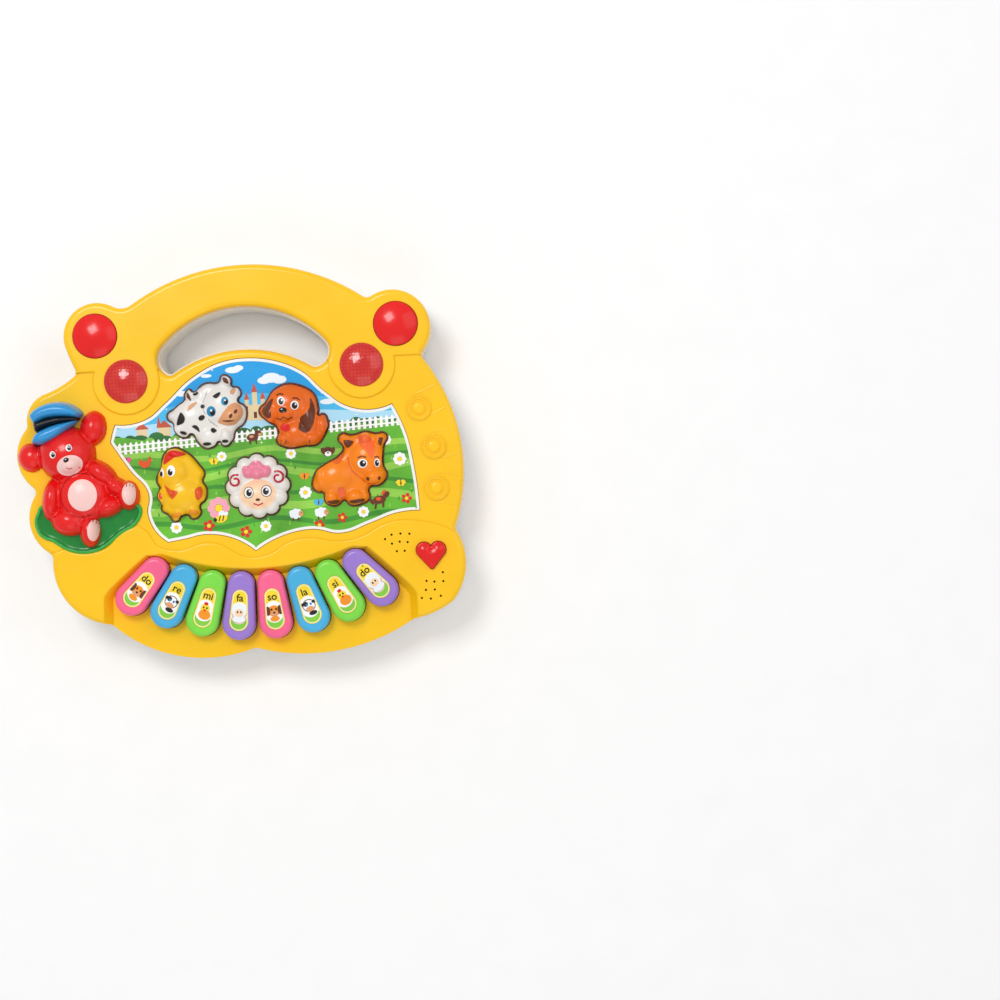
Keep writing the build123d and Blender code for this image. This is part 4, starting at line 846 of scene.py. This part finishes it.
# small farm animals
draw(
    "brown", oval(6.2, 10.4, 2.6, 1.6), oval(8.8, 12.2, 1.5, 1.3),
    [(4.4, 9.6), (4.8, 7.4), (5.4, 7.4), (5.6, 9.4)], [(7.2, 9.4), (7.6, 7.4), (8.2, 7.4), (8.0, 9.6)]
)
draw("tan", oval(9.6, 11.6, 0.8, 0.6), oval(5.8, 10.8, 1.0, 0.6))
draw("brown", oval(39.6, 2.2, 2.4, 2.1), oval(37.4, 2.6, 0.9, 1.6, 20), oval(41.8, 2.6, 0.9, 1.6, -20))
draw("white", oval(39.6, 1.2, 1.5, 1.1))
draw("black", oval(38.8, 2.9, 0.35), oval(40.4, 2.9, 0.35), oval(39.6, 1.7, 0.45, 0.35))
draw(
    "brown", oval(61.4, -20.6, 3.0, 1.8, 10), oval(64.6, -18.4, 1.6, 1.2, 40),
    oval(57.9, -21.2, 0.7, 1.6, 30), [(59.4, -21.6), (59.0, -24.6), (59.8, -24.6), (60.4, -21.8)],
    [(62.4, -21.2), (62.6, -24.2), (63.4, -24.2), (63.6, -20.6)]
)
draw("rust", oval(63.4, -17.4, 1.4, 0.6, 50), oval(61.0, -20.2, 1.2, 0.8))
for x in (23.6, 35.0):
    draw(
        "cloud", oval(x, -25.2, 2.7, 1.9), oval(x - 1.6, -24.2, 1.2), oval(x + 1.4, -24.0, 1.3),
        oval(x, -23.6, 1.2)
    )
    draw("tan", oval(x + 2.4, -24.8, 1.1, 1.3))
    draw(
        "brown", oval(x + 2.7, -24.4, 0.25), oval(x - 1.2, -27.2, 0.35, 0.8),
        oval(x + 1.2, -27.2, 0.35, 0.8)
    )
draw("rust", oval(-42.2, 1.0, 2.2, 1.5, 20), oval(-40.2, 2.8, 0.9), oval(-44.4, 2.0, 0.8, 1.4, -30))
draw("red", oval(-40.2, 3.9, 0.5, 0.4))
draw("yellow", [(-39.5, 2.9), (-38.6, 2.6), (-39.5, 2.3)])
for k in range(26):
    x, y = random.uniform(-54, 76), random.uniform(-34, 44)
    r = random.uniform(0.5, 1.0)
    draw("white", [(x + (r if j % 2 == 0 else r * 0.22) * math.cos(j * math.pi / 4),
                    y + (r if j % 2 == 0 else r * 0.22) * math.sin(j * math.pi / 4)) for j in range(8)])

PRINT.append(("outline", [moved_in(loop, -OUTLINE_WIDTH) for loop in animal_loops.values()]))
prints = {}
lift = panel_top + PRINT_LIFT
for colour, outlines in PRINT:
    sheet = prints.setdefault(colour, Shape())
    for outline in outlines:
        lift += LAYER_LIFT
        near = [hole for hole in holes if not apart(hole, outline)]
        sheet.fill([outline], lift, within=[print_edge], without=near)
for colour, sheet in prints.items():
    if sheet.faces:
        sheet.build(f"print_{colour}", PAINT[colour], "printed_scene", "base")

# ------------------------------------------------------------ key labels
NOTES = [("do_low", "do", "dog"), ("re", "re", "cow"), ("mi", "mi", "chick"), ("fa", "fa", "sheep"),
         ("so", "so", "dog"), ("la", "la", "cow"), ("si", "si", "chick"), ("do_high", "do", "sheep")]
ZOOM = 1.25  # the pictures' size against the sizes in ICONS
ICONS = {
    "dog": [
        ("orange", 0, 0.2, 2.3, 2.0), ("brown", -2.2, 0.4, 0.9, 1.7), ("brown", 2.2, 0.4, 0.9, 1.7),
        ("tan", 0, -0.8, 1.3, 1.0), ("black", -0.8, 0.8, 0.35, 0.45), ("black", 0.8, 0.8, 0.35, 0.45),
        ("black", 0, -0.4, 0.45, 0.35), ("orange", 0, -2.6, 1.7, 1.0)
    ],
    "cow": [
        ("brown", 0, 0.3, 2.4, 2.3), ("white", 0, 0.3, 2.1, 2.0), ("black", -2.2, 1.2, 0.9, 0.6),
        ("black", 2.2, 1.2, 0.9, 0.6), ("black", -1.0, 1.1, 0.9, 0.9), ("tan", 0, -1.0, 1.5, 1.0),
        ("blue", -0.7, 0.7, 0.4, 0.5), ("blue", 0.8, 0.7, 0.4, 0.5), ("black", 0.6, -2.6, 1.5, 0.8)
    ],
    "chick": [
        ("yellow", 0, 0.6, 1.7, 1.7), ("orange", 0.3, -1.6, 2.2, 1.8), ("red", 0, 2.4, 0.8, 0.6),
        ("black", -0.6, 0.9, 0.3, 0.4), ("black", 0.6, 0.9, 0.3, 0.4), ("red", 0, 0.0, 0.5, 0.35)
    ],
    "sheep": [
        ("tan", 0, 0.3, 2.9, 2.6), ("tan", 0, -2.2, 2.7, 1.6), ("cloud", 0, 0.4, 2.6, 2.3),
        ("cloud", -1.8, 1.6, 1.1, 1.1), ("cloud", 1.8, 1.6, 1.1, 1.1), ("cloud", 0, 2.4, 1.2, 1.0),
        ("cloud", 0, -2.2, 2.4, 1.3), ("peach", 0, 0.0, 1.6, 1.4), ("black", -0.6, 0.3, 0.3, 0.4),
        ("black", 0.6, 0.3, 0.3, 0.4)
    ]
}


def lettering(text, size, place, turn, z, name, body):
    """A generic note name printed on a label."""
    curve = bpy.data.curves.new(name, "FONT")
    curve.body = text
    curve.size = size * MM
    curve.align_x = "CENTER"
    curve.align_y = "CENTER"
    curve.offset = 0.07 * MM
    temp = linked(name + "_curve", curve)
    bpy.context.view_layer.update()
    mesh = bpy.data.meshes.new_from_object(temp.evaluated_get(bpy.context.evaluated_depsgraph_get()))
    bpy.data.objects.remove(temp)
    mesh.transform(
        Matrix.Translation((place[0] * MM, place[1] * MM, z * MM)) @ Matrix.Rotation(turn, 4, "Z")
    )
    mesh.materials.clear()
    mesh.materials.append(PAINT["black"])
    piece = linked(name, mesh)
    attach(piece, body)


for note, syllable, icon in NOTES:
    node, body = f"label_{note}", f"key_{note}"
    loop = top_loops(node)[0]
    p = np.array(loop)
    # the label's centre and long axis, from its corners weighted by the edges beside them
    seg = np.linalg.norm(np.roll(p, -1, axis=0) - p, axis=1)
    weight = (seg + np.roll(seg, 1))[:, None]
    centre = (p * weight).sum(axis=0) / (2 * seg.sum())
    spread = (p - centre).T @ ((p - centre) * weight)
    axis = np.linalg.eigh(spread)[1][:, 1]
    axis = axis if axis[1] > 0 else -axis
    side = np.array([axis[1], -axis[0]])
    z = top_of(node)
    turn = math.atan2(-axis[0], axis[1])

    def spot(u, v, centre=centre, axis=axis, side=side):
        """A point of the label, from u across it and v along it."""
        return tuple(centre + axis * v + side * u)

    def blob(u, v, ru, rv, count):
        """An oval on the label."""
        turns = np.linspace(0, 2 * math.pi, count, endpoint=False)
        return [spot(u + ru * math.cos(a), v + rv * math.sin(a)) for a in turns]

    ring = moved_in(loop, 0.35)
    layers = {}
    layers.setdefault("cream", Shape()).fill([ring], z + 0.02)
    ring = moved_in(loop, 0.75)
    layers.setdefault("yellow", Shape()).fill([ring], z + 0.03)
    lower = [spot(-9, -1.6), spot(-9, -14), spot(9, -14), spot(9, -1.6)]
    layers.setdefault("lime", Shape()).fill([lower], z + 0.045, within=[ring])
    layers.setdefault("white", Shape()).fill([blob(0, -1.1, 4.3, 4.9, 36)], z + 0.06, within=[ring])
    for order, (colour, u, v, ru, rv) in enumerate(ICONS[icon]):
        part = blob(ZOOM * u, -1.0 + ZOOM * v, ZOOM * ru, ZOOM * rv, 18)
        layers.setdefault(colour, Shape()).fill([part], z + 0.075 + 0.008 * order, within=[ring])
    for colour, mark in layers.items():
        if mark.faces:
            mark.build(f"{node}_{colour}", PAINT[colour], "key_label", body)
    lettering(syllable, 4.6, spot(0, 5.6), turn, z + 0.08, f"{node}_name", body)
    if note == "do_high":
        # the dot that marks the upper octave
        dot = Shape()
        dot.fill([blob(1.2, 8.1, 0.4, 0.4, 12)], z + 0.09, within=[ring])
        if dot.faces:
            dot.build("label_do_high_dot", PAINT["black"], "key_label", body)

# ------------------------------------------------------------ domed buttons and lamps
FLANGE = 1.4  # hidden flange (mm) round each domed piece
CROWN = 2.7  # height (mm) of the domed part


def dome(node, piece_name, mat, slot, body):
    """A round dome in place of a CAD node."""
    low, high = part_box(node)
    cx, cy = (low.x + high.x) / 2 / MM, (low.y + high.y) / 2 / MM
    radius = (high.x - low.x) / 2 / MM - FLANGE
    top, shoulder = high.z / MM, high.z / MM - CROWN

    def height(xy):
        r = np.clip(np.hypot(xy[:, 0] - cx, xy[:, 1] - cy) / radius, 0, 1)
        return shoulder + (top - shoulder) * (0.75 * (1 - r * r) + 0.25 * np.sqrt(1 - r * r * 0.999))

    shape = Shape()
    shape.fill([oval(cx, cy, radius, radius, 0, 96)], height, step=0.5, skirt=low.z / MM)
    return shape.build(piece_name, mat, slot, body, replaces=(node,))


for side_name in ("left", "right"):
    node = f"mode_button_{side_name}"
    dome(node, f"mode_dome_{side_name}", FINISHES["red_plastic"], "red_plastic", node)
    mat = finish(f"lens_{side_name}", (240, 36, 30), rough=0.1, coat=0.6, clear=0.2)
    tree = mat.node_tree
    shader = next(n for n in tree.nodes if n.type == "BSDF_PRINCIPLED")
    where = next(n for n in tree.nodes if n.type == "TEX_COORD")
    facets = tree.nodes.new("ShaderNodeTexVoronoi")
    put(facets, {"Scale": 650.0, "Randomness": 0.12})
    tree.links.new(where.outputs["Object"], facets.inputs["Vector"])
    cut = tree.nodes.new("ShaderNodeBump")
    put(cut, {"Strength": 0.25, "Distance": 0.0004})
    tree.links.new(facets.outputs["Distance"], cut.inputs["Height"])
    tree.links.new(cut.outputs["Normal"], shader.inputs["Normal"])
    # painted light and shade on the lens: each facet lighter red at its centre, darker red at its edges
    facet_light_and_shade = tree.nodes.new("ShaderNodeValToRGB")
    facet_light_and_shade.color_ramp.elements[0].color = (*linear(240, 62, 44), 1)
    facet_light_and_shade.color_ramp.elements[1].color = (*linear(220, 22, 18), 1)
    facet_light_and_shade.color_ramp.elements[0].position = 0.1
    facet_light_and_shade.color_ramp.elements[1].position = 0.7
    tree.links.new(facets.outputs["Distance"], facet_light_and_shade.inputs["Fac"])
    tree.links.new(facet_light_and_shade.outputs["Color"], shader.inputs["Base Color"])
    dome(f"lamp_lens_{side_name}", f"lamp_dome_{side_name}", mat, "lamp_lens", "base")

heart_loop = top_loops("heart_button")[0]
heart_top = top_of("heart_button")
heart = Shape()
heart.fill(
    [heart_loop], relief(heart_top - 0.05, [], edge=heart_loop, rise=1.3, soft=1.8), step=0.4,
    skirt=heart_top - 0.4
)
heart.build("heart_crown", FINISHES["red_plastic"], "red_plastic", "heart_button")

# ------------------------------------------------------------ stepped tabs beside the rings
TABS = [[(79.5, 25.8), (84.5, 27.4), (90.0, 30.0)], [(86.2, 16.0), (89.5, 17.4), (93.2, 19.4)],
        [(86.0, 8.8), (91.0, 8.8), (95.6, 9.6)], [(90.5, -3.4), (94.0, -2.6), (97.2, -1.6)],
        [(88.6, -9.6), (93.0, -10.2), (96.8, -11.6)], [(88.4, -23.0), (92.0, -23.4), (95.2, -24.4)]]
ridges = Shape()
for tab in TABS:
    strip = band(tab, 1.5)
    ridges.fill([strip], relief(face - 0.06, [], edge=strip, rise=0.5, soft=0.35), step=0.4)
RINGS = ((81.3, 19.5), (87.0, 2.0), (87.3, -16.5))


def ring_height(cx, cy):
    """A rounded ring, raised round a centre."""

    def height(xy):
        away = (np.hypot(xy[:, 0] - cx, xy[:, 1] - cy) - 5.1) / 0.8
        return face + 0.6 + 0.7 * np.cos(np.clip(away, -1, 1) * math.pi)

    return height


for cx, cy in RINGS:
    outer, inner = oval(cx, cy, 5.9, 5.9, 0, 72), oval(cx, cy, 4.3, 4.3, 0, 72)
    ridges.fill([outer], ring_height(cx, cy), without=[inner], step=0.4)
    boss = oval(cx, cy, 3.0, 3.0, 0, 60)
    ridges.fill([boss], relief(face - 0.1, [], edge=boss, rise=1.4, soft=0.4), step=0.4)
ridges.build("tab_ridges", FINISHES["yellow_shell"], "yellow_shell", "base")

# ------------------------------------------------------------ rubber domes, one piece under each button
for node in ("key_domes", "animal_domes", "mode_domes", "heart_dome"):
    whole = nodes[node].data
    presses = [j for j in record["behaviour"]["joints"]
               if node in [d["node"] for d in j.get("deforming_nodes", [])]]
    centres = np.array([(sum(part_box(j["child"]), Vector()) / 2)[:2] for j in presses])
    owners = []
    for poly in whole.polygons:
        away = np.linalg.norm(centres - np.array(poly.center[:2]), axis=1)
        owners.append(int(np.argmin(away)))
    for k, press in enumerate(presses):
        polys = [poly for poly, owner in zip(whole.polygons, owners) if owner == k]
        used = sorted({i for poly in polys for i in poly.vertices})
        index = {v: i for i, v in enumerate(used)}
        spots = [tuple(whole.vertices[i].co) for i in used]
        mesh = bpy.data.meshes.new(f"{press['child']}_dome")
        mesh.from_pydata(spots, [], [[index[i] for i in poly.vertices] for poly in polys])
        mesh.polygons.foreach_set("use_smooth", [True] * len(polys))
        mesh.materials.append(FINISHES["dome_rubber"])
        rubber = linked(f"{press['child']}_dome", mesh)
        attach(rubber, "base")
        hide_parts(node)
        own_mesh(rubber)

# ------------------------------------------------------------ stage, light and camera
FLOOR_Z = -0.0002
floor_mesh = bpy.data.meshes.new("floor")
floor_mesh.from_pydata(
    [(-4, -4, FLOOR_Z), (4, -4, FLOOR_Z), (4, 4, FLOOR_Z), (-4, 4, FLOOR_Z)], [], [(0, 1, 2, 3)]
)
floor_mesh.materials.append(finish("paper", (252, 252, 252), rough=0.7, vary=0.01, coat=0.0))
floor = linked("floor", floor_mesh)
floor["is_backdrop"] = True

world = bpy.data.worlds.new("studio")
world.use_nodes = True
put(world.node_tree.nodes["Background"], {"Color": (1, 1, 1, 1), "Strength": 0.6})
bpy.context.scene.world = world


def lamp(name, place, target, size, power):
    """A square light that faces a point."""
    data = bpy.data.lights.new(name, "AREA")
    data.size = size
    data.energy = power
    light = linked(name, data)
    light.location = place
    light.rotation_euler = (Vector(target) - Vector(place)).to_track_quat("-Z", "Y").to_euler()


lamp("key_light", (-0.3, 0.52, 1.2), (0, 0, 0), 0.45, 6.5)
lamp("fill_light", (0.9, 0.3, 1.1), (0, 0, 0), 0.9, 2)
lamp("front_light", (0.1, -0.9, 0.9), (0, 0, 0), 0.8, 1.5)
bpy.context.scene.view_settings.view_transform = "Standard"

CAMERA_PLACE = (0.1153, -0.0237, 1.098)
CAMERA_TURN = math.radians(-3.18)
camera_data = bpy.data.cameras.new("camera")
camera_data.lens = 86.0
camera_data.dof.use_dof = False
camera = linked("camera", camera_data)
camera.location = CAMERA_PLACE
camera.rotation_euler = (0, 0, CAMERA_TURN)
bpy.context.scene.camera = camera

bounds_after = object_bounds()


def plain(value):
    """The value in types that json can write."""
    if isinstance(value, dict):
        return {k: plain(v) for k, v in value.items()}
    if isinstance(value, (list, tuple, Vector, np.ndarray)):
        return [plain(v) for v in value]
    return float(value) if isinstance(value, (int, float, np.floating)) else value


{"before": plain(bounds_before), "after": plain(bounds_after)}
